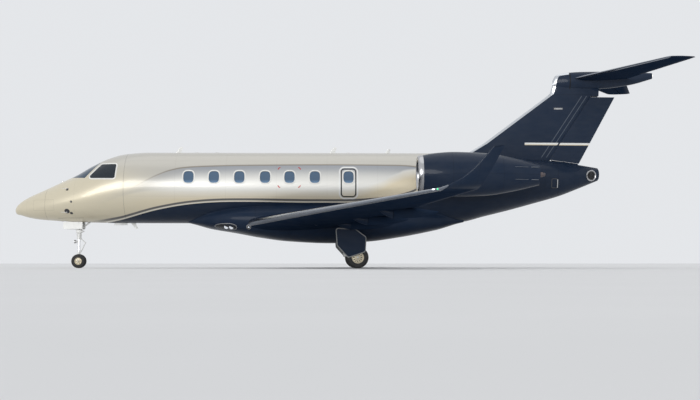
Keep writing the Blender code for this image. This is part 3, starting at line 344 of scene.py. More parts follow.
@dataclass
class Shape:
    """Closed surfaces gathered as arrays, to be made one mesh.

    Each method that adds a body returns the shape.
    """

    points: list[Points] = field(default_factory=list)
    quads: list[Points] = field(default_factory=list)
    tris: list[Points] = field(default_factory=list)
    count: int = 0

    def _keep(self, points: Points, quads: Points, tris: Points) -> "Shape":
        """Stores one closed body with its faces outwards: its signed volume tells which way they point.

        Args:
            points: (count, 3) places.
            quads, tris: the corners of its faces, by number.
        """
        a, b, c = points[np.concatenate([quads[:, :3], quads[:, [0, 2, 3]], tris])].swapaxes(0, 1)
        if (a * np.cross(b, c)).sum() < 0:
            quads, tris = quads[:, ::-1], tris[:, ::-1]
        self.points.append(points)
        self.quads.append(quads + self.count)
        self.tris.append(tris + self.count)
        self.count += len(points)
        return self

    def loft(self, rings: Points) -> "Shape":
        """A body through closed rings, each end closed by a fan to its middle.

        Args:
            rings: a grid (rows, columns, 3) of places.
        """
        rings = np.asarray(rings, float)
        ends = [rings[0].mean(axis=0), rings[-1].mean(axis=0)]
        whole = np.ptp(rings, axis=1).max(axis=1) > 1e-9
        rings = rings[0 if whole[0] else 1:None if whole[-1] else -1]
        rows, cols = rings.shape[:2]
        index = np.arange(rows * cols).reshape(rows, cols)
        turned = np.roll(index, -1, axis=1)
        quads = np.stack([index[:-1], index[1:], turned[1:], turned[:-1]], axis=-1).reshape(-1, 4)
        first, last = np.full(cols, rows * cols), np.full(cols, rows * cols + 1)
        fans = (np.stack([index[0], turned[0], first], axis=-1),
                np.stack([turned[-1], index[-1], last], axis=-1))
        return self._keep(np.concatenate([rings.reshape(-1, 3), ends]), quads, np.concatenate(fans))

    def loop(self, grid: Points) -> "Shape":
        """A ring-shaped body.

        Args:
            grid: places (rows, columns, 3) that close on themselves both ways.
        """
        grid = np.asarray(grid, float)
        index = np.arange(grid.shape[0] * grid.shape[1]).reshape(grid.shape[:2])
        down = np.roll(index, -1, axis=0)
        quads = np.stack([index, down, np.roll(down, -1, axis=1), np.roll(index, -1, axis=1)], axis=-1)
        return self._keep(grid.reshape(-1, 3), quads.reshape(-1, 4), np.zeros((0, 3), int))

    def turned(self, profile: Points, centre: Points, axis: int | Points = 0, sides: int = 64,
               ring: bool = False) -> "Shape":
        """A profile of (along, radius) turned about an axis.

        Args:
            profile: the section's points; its ends are closed, unless it is a ring.
            centre: a place on the axis, from which `along` is measured.
            axis: 0 for X, 1 for Y, or a direction.
            sides: points round.
            ring: whether the section is a closed loop away from the axis.
        """
        profile = np.asarray(profile, float)
        if isinstance(axis, int):
            basis = np.roll(np.eye(3), -axis, axis=0)
        else:
            across = unit(np.cross(axis, np.eye(3)[int(np.argmin(np.abs(axis)))]))
            basis = np.stack([axis, across, np.cross(axis, across)])
        t = circle(sides)
        radial = np.stack([np.cos(t), np.sin(t)], axis=-1) @ basis[1:]
        grid = profile[:, None, :1] * basis[0] + profile[:, None, 1:] * radial + np.asarray(centre, float)
        return self.loop(grid) if ring else self.loft(grid)

    def rod(self, start: Points, end: Points, radius: float, end_radius: float | None = None,
            sides: int = 24, edge: float = 0.15) -> "Shape":
        """A round rod or cone.

        Args:
            start, end: the middles of its ends, in world places.
            radius, end_radius: at the start and at the end, alike if only one is given.
            sides: points round.
            edge: how far its rims are eased, as a share of the radius.
        """
        start, end = np.asarray(start, float), np.asarray(end, float)
        last = radius if end_radius is None else end_radius
        length = np.linalg.norm(end - start)
        ease = min(edge * min(radius, last), length / 3)
        along = np.array([0, ease, length - ease, length]) / length
        radii = (radius - ease, radius, last, last - ease)
        return self.pipe(start + (end - start) * along[:, None], radii, sides)

    def rods(self, *rows: Sequence) -> "Shape":
        """Rods by a table: start and end as (station, y, z), radius, points round."""
        for start, end, radius, sides in rows:
            self.rod(world(*start), world(*end), radius, sides=sides)
        return self

    def pipe(self, path: Points, radius: Points | float, sides: int = 12) -> "Shape":
        """A round tube: each ring stands square to the path, turned from one fixed reference.

        Args:
            path: the middles of its rings.
            radius: one, or one for each ring.
            sides: points round.
        """
        path = np.asarray(path, float)
        size = np.broadcast_to(np.asarray(radius, float), len(path))[:, None, None]
        way = unit(np.gradient(path, axis=0))
        across = unit(np.cross(way, np.eye(3)[int(np.argmin(np.abs(way).sum(axis=0)))]))
        t = circle(sides)[None, :, None]
        turned = across[:, None] * np.cos(t) + np.cross(across, way)[:, None] * np.sin(t)
        return self.loft(path[:, None] + size * turned)

    def slab(self, outline: Points, low: float, high: float, bevel: float = 0.004,
             place: Callable[[Points, Points, float], Points] = world) -> "Shape":
        """A plate: an outline carried from one level to another, with eased edges.

        Args:
            outline: (count, 2) points, seen whole from their middle.
            low, high: the two faces' levels.
            bevel: how far each edge is eased.
            place: turns (u, v, level) into world places.
        """
        low, high = sorted((low, high))
        inner = grown(outline, -bevel)
        rows = ((inner, low), (outline, low + bevel), (outline, high - bevel), (inner, high))
        return self.loft(np.stack([place(*flat.T, level) for flat, level in rows]))

    def block(self, low: Profile, high: Profile, bevel: float = 0.01) -> "Shape":
        """A box with eased edges.

        Args:
            low, high: two opposite corners (station, y, z).
            bevel: how far its edges are eased, at most a third of a side.
        """
        (x0, y0, z0), (x1, y1, z1) = np.sort([low, high], axis=0)
        bevel = min(bevel, (x1 - x0) / 3, (y1 - y0) / 3, (z1 - z0) / 3)
        outline = round_corners(((x0, y0), (x1, y0), (x1, y1), (x0, y1)), bevel, 3)
        return self.slab(outline, z0, z1, bevel * 0.6)

    def cushion(self, centre: Points, half: Profile, lean: float = 0.0, power: float = 4.0,
                size: int = 24) -> "Shape":
        """A crowned pad: a superellipsoid |x|^p + |y|^p + |z|^p = 1, leaned back about the y axis.

        Args:
            centre: its middle (station, y, z).
            half: its half sizes.
            lean: the angle, in radians.
            power: p.
            size: rows from pole to pole.
        """
        def bow(wave: Points) -> Points:
            """A sine or cosine drawn out towards a square wave."""
            return np.sign(wave) * np.abs(wave) ** (2 / power)

        u, v = circle(2 * size)[None, :], np.linspace(-math.pi / 2, math.pi / 2, size)[:, None]
        level = bow(np.sin(v))
        girth = np.where(np.abs(level) >= 0.999999, 0.0, bow(np.cos(v)))
        x, y, z = girth * bow(np.cos(u)) * half[0], girth * bow(np.sin(u)) * half[1], level * half[2]
        cos, sin = math.cos(lean), math.sin(lean)
        cx, cy, cz = centre
        return self.loft(world(cx + x * cos + z * sin, cy + y, cz + z * cos - x * sin))

    def prism(self, outline: Points, low: float, high: float) -> "Shape":
        """A side outline (station, z) carried from one y to another."""
        outline = np.asarray(outline, float)
        return self.loft(np.stack([upright(*outline.T, y) for y in (low, high)]))

    def solid(self, name: str) -> bpy.types.Object:
        """The gathered surfaces as one mesh, in an object that the scene holds.

        Args:
            name: the object's name.

        Returns:
            The object.
        """
        points, quads, tris = (np.concatenate(part) for part in (self.points, self.quads, self.tris))
        mesh = bpy.data.meshes.new(name)
        mesh.vertices.add(len(points))
        mesh.vertices.foreach_set("co", points.astype(np.float32).ravel())
        mesh.loops.add(quads.size + tris.size)
        mesh.loops.foreach_set("vertex_index", np.concatenate([quads.ravel(), tris.ravel()]).astype(np.int32))
        mesh.polygons.add(len(quads) + len(tris))
        starts = np.concatenate([np.arange(len(quads)) * 4, quads.size + np.arange(len(tris)) * 3])
        mesh.polygons.foreach_set("loop_start", starts.astype(np.int32))
        mesh.update(calc_edges=True)
        return in_scene(bpy.data.objects.new(name, mesh))


def maths(operation: str, swapped: bool = False) -> Callable[..., "Term"]:
    """Makes a method of Term.

    Args:
        operation: its Math node's operation.
        swapped: whether the term comes second.

    Returns:
        The method.
    """
    def method(term: "Term", *others: "Term | float") -> "Term":
        """The node's output."""
        values = (*others, term) if swapped else (term, *others)
        return term.graph.node("ShaderNodeMath", {"operation": operation}, dict(enumerate(values)))

    return method


class Term:
    """One shader socket. Arithmetic on it adds Math nodes."""

    __add__ = __radd__ = maths("ADD")
    __sub__, __rsub__ = maths("SUBTRACT"), maths("SUBTRACT", swapped=True)
    __mul__ = __rmul__ = maths("MULTIPLY")
    __truediv__, __gt__, __lt__ = maths("DIVIDE"), maths("GREATER_THAN"), maths("LESS_THAN")
    size, root, fraction = maths("ABSOLUTE"), maths("SQRT"), maths("FRACT")
    least, most = maths("MINIMUM"), maths("MAXIMUM")

    def __init__(self, graph: "Graph", socket: bpy.types.NodeSocket) -> None:
        """Keeps the socket and the graph that it belongs to."""
        self.graph, self.socket = graph, socket

    def share(self) -> "Term":
        """The term held between 0 and 1."""
        return self.most(0.0).least(1.0)

    def rise(self, low: float, high: float) -> "Term":
        """A smooth step from 0 at low to 1 at high; it falls where low is over high."""
        if low > high:
            return 1 - self.rise(high, low)
        return self.graph.node("ShaderNodeMapRange", {"interpolation_type": "SMOOTHSTEP"},
                               {"Value": self, "From Min": low, "From Max": high})

    def near(self, place: "Term | float", width: float) -> "Term":
        """1 on a line of this width at a place, fading just beside it."""
        return (self - place).size().rise(width, width * 0.5)

    def beat(self, pitch: float, shift: float = 0.0) -> "Term":
        """Distance to the nearest of a row of places this pitch apart."""
        return (((self - shift) / pitch + 0.5).fraction() - 0.5).size() * pitch

    def mix(self, first: "Term | Colour", second: "Term | Colour") -> "Term":
        """A colour between two, with this term as the factor."""
        return self.graph.node("ShaderNodeMix", {"data_type": "RGBA", "clamp_factor": True},
                               {0: self, 6: first, 7: second}, 2)

    def through(self, points: Profile, straight: bool = False) -> "Term":
        """A function of this term, by a Float Curve over the box of its points.

        Args:
            points: rows of place and value.
            straight: whether it runs straight between them.

        Returns:
            The function's value.
        """
        table = np.asarray(points, float)
        low, high = table.min(axis=0), table.max(axis=0)
        handles = {"handles": "VECTOR"} if straight else {}
        settings = {"points": ((table - low) / (high - low)).tolist()} | handles
        share = ((self - float(low[0])) / float(high[0] - low[0])).share()
        curve = self.graph.node("ShaderNodeFloatCurve", settings, {"Value": share})
        return curve * float(high[1] - low[1]) + float(low[1])


@dataclass
class Spot:
    """Where a point of the surface is: station, y, distance from the middle, height over the cabin axis."""

    station: Term
    y: Term
    side: Term
    height: Term


class Graph:
    """A material's node tree, with one method for any node."""

    def __init__(self, name: str) -> None:
        """A new material with a Principled shader."""
        self.material = bpy.data.materials.new(name)
        self.material.use_nodes = True
        self.tree = self.material.node_tree

    def node(self, kind: str, settings: dict | None = None, inputs: dict | None = None,
             output: int | str = 0) -> Term:
        """Adds a node.

        Args:
            kind: the node's type.
            settings: its own settings, set first; `stops` fills a colour ramp, and `points` and then
                `handles` a float curve.
            inputs: values or terms by socket number or name.
            output: which output to return.

        Returns:
            The output as a term.
        """
        made = self.tree.nodes.new(kind)
        for name, value in (settings or {}).items():
            if name == "stops":
                ramp = made.color_ramp.elements
                for i, (place, colour) in enumerate(value):
                    stop = ramp[i] if i < 2 else ramp.new(place)
                    stop.position, stop.color = place, (*colour, 1)
            elif name == "points":
                curve = made.mapping.curves[0].points
                for i, place in enumerate(value):
                    point = curve[i] if i < 2 else curve.new(*place)
                    point.location = place
            elif name == "handles":
                for point in made.mapping.curves[0].points:
                    point.handle_type = value
            else:
                setattr(made, name, value)
        if kind == "ShaderNodeFloatCurve":
            made.mapping.update()
        for key, value in (inputs or {}).items():
            self.feed(made.inputs[key], value)
        return Term(self, made.outputs[output])

    def feed(self, socket: bpy.types.NodeSocket, value: "Term | float | Colour") -> None:
        """Links a term to a socket, or sets its value.

        Args:
            socket: the input.
            value: a term, a number, a vector, or a colour without its alpha.
        """
        if isinstance(value, Term):
            self.tree.links.new(value.socket, socket)
        elif socket.type == "RGBA":
            socket.default_value = (*value, 1)
        else:
            socket.default_value = value

    def finish(self, **sockets: "Term | float | Colour") -> None:
        """Feeds the Principled shader: Base_Color is its Base Color, and so on."""
        for name, value in sockets.items():
            self.feed(self.tree.nodes["Principled BSDF"].inputs[name.replace("_", " ")], value)

    def where(self) -> Term:
        """The Object coordinates as a vector."""
        return self.node("ShaderNodeTexCoord", output="Object")

    def spot(self) -> Spot:
        """The Object coordinates from the part's own origin."""
        parts = self.node("ShaderNodeSeparateXYZ", None, {0: self.where()}).socket.node.outputs
        x, y, z = (Term(self, part) for part in parts)
        return Spot(x + ORIGIN_STATION, y, y.size(), z - AXIS_HEIGHT)

    def noise(self, scale: float, detail: float = 3.0, stretch: Sequence[float] = (1, 1, 1)) -> Term:
        """Noise over the surface.

        Args:
            scale: about how many grains a metre.
            detail: octaves.
            stretch: the scale's factor along each axis.

        Returns:
            The noise, from 0 to 1.
        """
        vector = self.where()
        if tuple(stretch) != (1, 1, 1):
            vector = self.node("ShaderNodeMapping", None, {"Vector": vector, "Scale": tuple(stretch)})
        inputs = {"Vector": vector, "Scale": scale, "Detail": detail}
        return self.node("ShaderNodeTexNoise", None, inputs, "Fac")

    def bump(self, height: Term, distance: float, strength: float = 1.0) -> Term:
        """The surface normal bent by a height in metres times distance."""
        inputs = {"Strength": strength, "Distance": distance, "Height": height}
        return self.node("ShaderNodeBump", None, inputs)


_MATERIALS: dict["Finish", bpy.types.Material] = {}


@dataclass(frozen=True)
class Finish:
    """A surface finish. Its material is made once, and each kind of finish fills the nodes in its build()."""

    name: str

    def build(self, graph: Graph) -> None:
        """Fills the material's nodes."""
        raise NotImplementedError

    def material(self) -> bpy.types.Material:
        """The finish's material, made at its first use."""
        if self not in _MATERIALS:
            graph = Graph(self.name)
            self.build(graph)
            _MATERIALS[self] = graph.material
        return _MATERIALS[self]


CHAMPAGNE = (0.51, 0.49, 0.44)
BAND_GREY = (0.30, 0.315, 0.34)
PEARL = (0.72, 0.71, 0.67)
GOLD = (0.69, 0.61, 0.45)
# Gold of the forward body, warmer and paler than GOLD: partly the paint, partly a painted reflection of the
# warm ground on the lower nose
NOSE_GOLD_AND_GROUND_REFLECTION = (0.65, 0.59, 0.45)
STRIPE_GREY = (0.13, 0.13, 0.13)
LINE_GREY = (0.10, 0.12, 0.15)
NAVY = (0.0042, 0.0135, 0.0340)
SILVER = (0.62, 0.64, 0.67)
EDGE_GREY = (0.24, 0.265, 0.31)
BRONZE = (0.20, 0.17, 0.13)
WHITE = (0.78, 0.78, 0.76)

# Paint edges on the fuselage: station, height over the axis
SWEEP_TOP = ((1.60, -1.02), (2.03, -0.876), (2.45, -0.734), (3.01, -0.532), (3.42, -0.318), (3.80, -0.122),
             (4.34, 0.177), (4.73, 0.368), (5.12, 0.504), (5.50, 0.575), (6.40, 0.625), (7.35, 0.648),
             (11.85, 0.660), (12.41, 0.645), (12.79, 0.600), (13.60, 0.480))
SWEEP_GOLD = ((1.60, -1.05), (2.09, -0.885), (2.67, -0.661), (3.19, -0.453), (3.57, -0.323), (3.94, -0.227),
              (4.34, -0.167), (4.91, -0.138), (5.74, -0.118), (7.33, -0.108), (8.91, -0.098), (10.60, -0.090),
              (11.57, 0.138), (11.92, 0.311), (12.18, 0.414), (12.40, 0.504), (12.72, 0.539), (13.60, 0.560))
NAVY_TOP = ((1.60, -1.30), (2.40, -1.190), (3.03, -1.112), (3.46, -1.038), (3.82, -0.948), (4.19, -0.848),
            (4.56, -0.756), (4.94, -0.680), (5.32, -0.615), (5.76, -0.560), (6.44, -0.510), (7.22, -0.495),
            (9.59, -0.520), (11.00, -0.500), (12.00, -0.400), (13.00, -0.050), (13.80, 0.450), (14.60, 1.400))


def tone(colour: Colour, share: float) -> Colour:
    """A colour made darker or paler by a share, white at most."""
    return tuple(min(1.0, c * share) for c in colour)


class Zone(Enum):
    """Which part of the aircraft a coat of paint is on."""

    BODY = "body"
    WING = "wing"
    FIN = "fin"
    STABILISER = "stabiliser"
    NACELLE = "nacelle"
    PLAIN = "plain"


@dataclass(frozen=True)
class JetPaint(Finish):
    """Clear-coated aircraft paint: the body's sweeping bands, or navy with polished leading edges."""

    zone: Zone = Zone.PLAIN
    specular: float = 0.08
    coat: float = 0.30

    def build(self, graph: Graph) -> None:
        """Works out the colour by place, the polished edges, the panel seams and the flake."""
        at = graph.spot()
        station, height = at.station, at.height
        polish: Term | float = 0.0
        if self.zone is Zone.BODY:
            colour, metal, gloss = self._bands(at)
        else:
            colour, metal, gloss = graph.noise(0.8, 2).mix(NAVY, tone(NAVY, 1.25)), 0.0, self.coat
        if self.zone is Zone.BODY:
            seams = self._body_seams(at)
        elif self.zone is Zone.WING:
            polish = (station - at.side * 0.6).rise(6.862, 6.858)
            seams, gloss = self._wing_seams(at), self._topside(at, WING)
        elif self.zone is Zone.STABILISER:
            polish = (station - at.side * 0.5746).rise(17.912, 17.908)
            seams = at.side.beat(0.9).rise(0.004, 0.002).most((station - at.side * 0.47).near(18.75, 0.004))
            gloss = self._topside(at, STABILISER)
        elif self.zone is Zone.FIN:
            polish, colour, seams = self._fin_edge(at), self._fin_lines(at, colour), self._fin_seams(at)
        elif self.zone is Zone.NACELLE:
            seams = station.near(13.72, 0.005).most(station.near(15.25, 0.005)).most(
                (height - ENGINE_Z).near(-0.02, 0.004) * (station > 13.72))
        else:
            seams = station.beat(1.1).rise(0.003, 0.0015)
        if polish:
            colour, metal = polish.mix(colour, SILVER if self.zone is Zone.FIN else EDGE_GREY), polish
        wear = graph.noise(2.2, 4, (1, 1, 2.5))
        soft = (wear * 0.06).mix(colour, tone(CHAMPAGNE, 0.55))
        graph.finish(
            Base_Color=(seams * 0.55).mix(soft, (0.004, 0.004, 0.005)), Metallic=metal,
            Roughness=wear * 0.06 + (0.30 - polish * 0.10), Specular_IOR_Level=self.specular,
            Coat_Weight=gloss * (1.0 - seams * 0.8), Coat_Roughness=0.05, Coat_IOR=1.40,
            Normal=graph.bump(seams * -1.0 + graph.noise(700, 1) * 0.003, 0.0015, 0.5),
        )

    def _topside(self, at: Spot, table: Points) -> Term:
        """The clear coat's weight on a wing: full over its chord plane, and none under it."""
        plane = at.side.through(table[:, (0, 3)], straight=True)
        return (at.height - plane).rise(-0.02, 0.02) * self.coat

    @staticmethod
    def _fin_edge(at: Spot) -> Term:
        """1 on the bright band along the fin's leading edge and round its head.

        Args:
            at: the point.

        Returns:
            The band as a mask.
        """
        head = [(3.34, 17.225), (3.50, 17.24), (3.66, 17.33)]
        front = np.concatenate([[(0.55, 13.80)], FIN[1:4, :2], head])
        edge = at.height.through(front, straight=True)
        head = at.station.through(BULLET[:4, :2], straight=True)
        cap = (head - at.height).rise(0.075, 0.070) * (at.height > 3.50)
        return (at.station - edge).rise(0.125, 0.118).most(cap) * (at.station < 17.765)

    @staticmethod
    def _fin_lines(at: Spot, colour: Term) -> Term:
        """The fin's stripe, two fine pale lines ahead of the rudder's hinge, and the joint behind the head.

        Args:
            at: the point.
            colour: the paint under them.

        Returns:
            The colour with them.
        """
        height, lean = at.height, at.station - at.height * 0.665
        lines = lean.near(16.18, 0.014).most(lean.near(16.34, 0.012)) * (height > 1.0) * (height < 3.0)
        joint = at.station.near(17.79, 0.02) * (height > 3.22)
        stripe = height.near(1.435, 0.05) * (at.station > 16.30)
        colour = joint.mix(lines.mix(colour, LINE_GREY), (0.001, 0.001, 0.002))
        return stripe.mix(colour, (height > 1.422).mix(GOLD, WHITE))

    def _bands(self, at: Spot) -> tuple[Term, Term, Term]:
        """Champagne, a grey band fading to pearl, gold, a grey stripe and navy; low in front, a painted ground
        reflection.

        Args:
            at: the point.

        Returns:
            Colour, metallic share and the clear coat's weight.
        """
        station, height = at.station, at.height
        top, gold, navy = (station.through(edge) for edge in (SWEEP_TOP, SWEEP_GOLD, NAVY_TOP))
        ahead = station.rise(1.75, 2.4)
        band = ((top - height) / 0.60).share().rise(0.0, 0.75).mix(BAND_GREY, PEARL)
        # Painted reflection: low on the nose the champagne turns to a warmer, paler gold, as if lit by the
        # ground
        nose = (height.rise(0.9, 0.1) * station.rise(5.0, 2.5)).mix(CHAMPAGNE, NOSE_GOLD_AND_GROUND_REFLECTION)
        front = station.rise(3.4, 6.4).mix(nose, band)
        colour = ((height - top).rise(0.004, -0.004) * ahead).mix(nose, front)
        colour = ((height - top).near(0.004, 0.030) * station.rise(3.6, 5.4) * 0.7).mix(colour, BRONZE)
        under = ((gold - height) / 0.30).share().mix(PEARL, GOLD)
        # Forward, the gold paint under the sweep takes the same warmer tone, partly a painted ground reflection
        under = station.rise(6.0, 3.0).mix(under, NOSE_GOLD_AND_GROUND_REFLECTION)
        colour = ((height - gold).rise(0.05, -0.05) * ahead).mix(colour, under)
        over, below = height - navy, (height - navy).rise(0.004, -0.004)
        colour = (over.near(0.075, 0.042) * station.rise(2.3, 3.2)).mix(colour, STRIPE_GREY)
        colour = (over.near(0.022, 0.014) * station.rise(2.3, 3.2)).mix(colour, PEARL)
        return self._markings(at, below.mix(colour, NAVY)), 0.30 - below * 0.30, 0.6 - below * 0.35

    @staticmethod
    def _markings(at: Spot, colour: Term) -> Term:
        """Outlines of the exit and the door, and the red corner marks.

        Args:
            at: the point.
            colour: the paint under them.

        Returns:
            The colour with them.
        """
        def box(x0: float, x1: float, z0: float, z1: float, radius: float = 0.12) -> Term:
            """Distance outside a rounded rectangle, negative inside."""
            u = (at.station - (x0 + x1) / 2).size() - ((x1 - x0) / 2 - radius)
            v = (at.height - (z0 + z1) / 2).size() - ((z1 - z0) / 2 - radius)
            outer = (u.most(0.0) * u.most(0.0) + v.most(0.0) * v.most(0.0)).root()
            return outer + u.most(v).least(0.0) - radius

        near, hatch = at.y < 0.0, box(*EXIT)
        colour = (hatch.near(0.030, 0.028) * near).mix(colour, WHITE)
        colour = (hatch.near(-0.026, 0.024) * near).mix(colour, (0.006, 0.010, 0.018))
        colour = (box(*DOOR).near(0.0, 0.008) * (at.y > 0.0)).mix(colour, (0.02, 0.02, 0.02))
        marks = box(8.385, 9.115, -0.07, 0.60, 0.09).near(-0.018, 0.018)
        corner = (at.station - 8.75).size().rise(0.275, 0.28) * (at.height - 0.265).size().rise(0.245, 0.25)
        return (marks * corner).mix(colour, (0.45, 0.02, 0.02))

    @staticmethod
    def _body_seams(at: Spot) -> Term:
        """The skin's joints: the radome's and the barrels', a row of frames, two stringer laps, and hatches.

        Args:
            at: the point.

        Returns:
            The seams as a mask.
        """
        station, height, flank = at.station, at.height, at.side > 0.2
        strong = station.near(RADOME_END, 0.005).most(station.near(FORWARD_END, 0.005))
        strong = strong.most(station.near(CABIN_END, 0.005)).most(station.near(AFT_END, 0.006))
        frames = station.beat(1.58, 0.45).rise(0.003, 0.0015) * 0.35
        laps = height.near(0.80, 0.003).most(height.near(-0.33, 0.003))
        laps = laps * (station > 3.6) * (station < 17.3) * 0.35
        u, v = (station - 1.035).size() - 0.345, (height + 0.585).size() - 0.165
        hatch = u.most(v).size().rise(0.004, 0.002) * flank * 0.6
        u, v = (station - 17.06).size() - 0.27, (height - 0.13).size() - 0.21
        outlet = (u + v).most(u.most(v) * 2.0).near(-0.10, 0.008) * flank
        doors = (height + 0.985).near(0.0, 0.006) * (station > 1.45) * (station < 2.28)
        return strong.most(frames).most(laps).most(hatch).most(outlet).most(doors)

    @staticmethod
    def _wing_seams(at: Spot) -> Term:
        """Ribs across the wing, the spars' lines along it, and the joint behind the leading edge."""
        front, rear = at.station - at.side * 0.57, at.station - at.side * 0.35
        spars = front.near(7.75, 0.005).most(rear.near(9.55, 0.005))
        lines = (at.side.beat(0.62, 0.2).rise(0.004, 0.002) * 0.5).most(spars * 0.5)
        return lines.most((at.station - at.side * 0.6).near(6.862, 0.005))

    @staticmethod
    def _fin_seams(at: Spot) -> Term:
        """The fin's ribs and the joint at its top."""
        ribs = at.height.beat(0.52, 0.14).rise(0.004, 0.002) * 0.4 * (at.station - at.height * 0.66 > 15.2)
        return ribs.most(at.height.near(3.04, 0.005))


@dataclass(frozen=True)
class BareMetal(Finish):
    """Polished, brushed or cast metal with fine grain and finger-sized blotches."""

    colour: Colour = SILVER
    roughness: float = 0.15
    grain: float = 60.0
    relief: float = 0.4

    def build(self, graph: Graph) -> None:
        """Grain in roughness and bump, and a slow change of tone."""
        grain, blotch = graph.noise(self.grain, 4), graph.noise(5, 3)
        graph.finish(Base_Color=(blotch * 0.5).mix(self.colour, tone(self.colour, 0.82)), Metallic=1.0,
                     Roughness=grain * 0.12 + (self.roughness - 0.05),
                     Normal=graph.bump(grain, 0.0004, self.relief))


@dataclass(frozen=True)
class Enamel(Finish):
    """Sprayed gear enamel or plastic: gloss with grime in streaks."""

    colour: Colour = WHITE
    roughness: float = 0.35
    grime: float = 0.25

    def build(self, graph: Graph) -> None:
        """Orange peel in the bump, and darker streaks that run down."""
        peel, streak = graph.noise(320, 2), graph.noise(9, 5, (1, 1, 0.25))
        colour = (streak.rise(0.50, 0.75) * self.grime).mix(self.colour, tone(self.colour, 0.35))
        graph.finish(Base_Color=colour, Roughness=streak * 0.15 + self.roughness, Coat_Weight=0.3,
                     Normal=graph.bump(peel, 0.0004, 0.35))


@dataclass(frozen=True)
class WheelEnamel(Finish):
    """A wheel's pale gold enamel, blackened inside its slots and between the pair: painted shade, with brake
    dust.
    """

    middle: float = 0.0
    outer: float = 0.1

    def build(self, graph: Graph) -> None:
        """Painted shade and brake dust by depth from the outer face, with streaks over the rest."""
        depth, streak = (graph.spot().side - self.middle).size(), graph.noise(30, 4)
        colour = (streak.rise(0.45, 0.8) * 0.3).mix((0.68, 0.61, 0.46), (0.25, 0.21, 0.15))
        # Painted shade: near black deeper in than the outer face, in the slots and between the pair
        colour = depth.rise(self.outer - 0.040, self.outer - 0.046).mix(colour, (0.012, 0.012, 0.012))
        graph.finish(Base_Color=colour, Metallic=0.3, Roughness=streak * 0.2 + 0.30, Coat_Weight=0.2,
                     Normal=graph.bump(streak, 0.0005, 0.3))


@dataclass(frozen=True)
class TyreRubber(Finish):
    """Dark rubber, greyer where it has rolled on the ground."""

    def build(self, graph: Graph) -> None:
        """Fine pores and dusty patches."""
        pore, dust = graph.noise(240, 3), graph.noise(14, 4)
        graph.finish(Base_Color=dust.rise(0.45, 0.75).mix((0.012, 0.012, 0.013), (0.040, 0.038, 0.036)),
                     Roughness=dust * 0.2 + 0.58, Normal=graph.bump(pore, 0.0006, 0.5))


@dataclass(frozen=True)
class Glazing(Finish):
    """Tinted aircraft glass: part of what is behind it shows; the tint is partly painted reflection and shade.
    """

    tint: Colour = (0.10, 0.17, 0.27)
    cover: float = 0.75
    foot: float = WINDOW_Z - 0.19

    def build(self, graph: Graph) -> None:
        """A tint that is palest at the pane's foot, where it takes light from below."""
        deep = graph.spot().height.rise(self.foot, self.foot + 0.12)
        ripple = graph.noise(3, 1)
        graph.finish(Base_Color=deep.mix(tone(self.tint, 2.0), self.tint), Roughness=ripple * 0.03 + 0.03,
                     Alpha=deep * 0.02 + (self.cover - 0.02), Specular_IOR_Level=0.3,
                     Coat_Weight=ripple * 0.1 + 0.4, Coat_Roughness=0.02,
                     Normal=graph.bump(ripple, 0.002, 0.1))


@dataclass(frozen=True)
class Hide(Finish):
    """Seat leather with a fine pebble and soft wear."""

    colour: Colour = (0.52, 0.43, 0.33)

    def build(self, graph: Graph) -> None:
        """Voronoi pebbles in the bump, and paler, smoother patches where it is sat on."""
        pebble = graph.node("ShaderNodeTexVoronoi", {"feature": "DISTANCE_TO_EDGE"},
                            {"Vector": graph.where(), "Scale": 260.0})
        wear = graph.noise(7, 3)
        graph.finish(Base_Color=wear.rise(0.4, 0.75).mix(self.colour, tone(self.colour, 1.2)),
                     Roughness=0.62 - wear * 0.15, Normal=graph.bump(pebble, 0.02, 0.4))


@dataclass(frozen=True)
class Carpet(Finish):
    """Cut-pile carpet."""

    colour: Colour = (0.16, 0.14, 0.12)

    def build(self, graph: Graph) -> None:
        """Tufts in colour and bump."""
        tuft = graph.noise(420, 3)
        graph.finish(Base_Color=tuft.mix(tone(self.colour, 0.6), self.colour), Roughness=0.95,
                     Normal=graph.bump(tuft, 0.003, 0.8))


@dataclass(frozen=True)
class HotMetal(Finish):
    """Titanium that heat has tinted toward the rear."""

    start: float = 15.2
    end: float = 16.6

    def build(self, graph: Graph) -> None:
        """Straw, brown and blue by station over brushed grey."""
        share = ((graph.spot().station - self.start) / (self.end - self.start)).share()
        grain = graph.noise(30, 4, (0.3, 4, 4))
        stops = ((0.0, (0.42, 0.41, 0.40)), (1.0, (0.12, 0.11, 0.12)), (0.35, (0.45, 0.38, 0.28)),
                 (0.65, (0.28, 0.20, 0.17)))
        heat = graph.node("ShaderNodeValToRGB", {"stops": stops}, {0: share + (grain - 0.5) * 0.15})
        graph.finish(Base_Color=heat, Metallic=1.0, Roughness=grain * 0.2 + 0.25,
                     Normal=graph.bump(grain, 0.0006, 0.4))


@dataclass(frozen=True)
class LampLens(Finish):
    """A small coloured lens with a glow behind it."""

    colour: Colour = (1.0, 1.0, 1.0)
    glow: float = 0.6

    def build(self, graph: Graph) -> None:
        """Ribs in the lens and a soft inner glow."""
        inputs = {"Vector": graph.where(), "Scale": 90.0, "Distortion": 0.0}
        ribs = graph.node("ShaderNodeTexWave", None, inputs, "Fac")
        graph.finish(Base_Color=(ribs * 0.2).mix(self.colour, tone(self.colour, 0.6)),
                     Roughness=ribs * 0.05 + 0.05, Coat_Weight=1.0, Emission_Color=self.colour,
                     Emission_Strength=self.glow, Normal=graph.bump(ribs, 0.0006, 0.3))


@dataclass(frozen=True)
class StudioFloor(Finish):
    """A pale, matt studio floor."""

    def build(self, graph: Graph) -> None:
        """Nearly even, with a little mottling."""
        grey = graph.noise(0.6, 3).mix((0.66, 0.66, 0.66), (0.70, 0.70, 0.70))
        graph.finish(Base_Color=grey, Roughness=0.85)


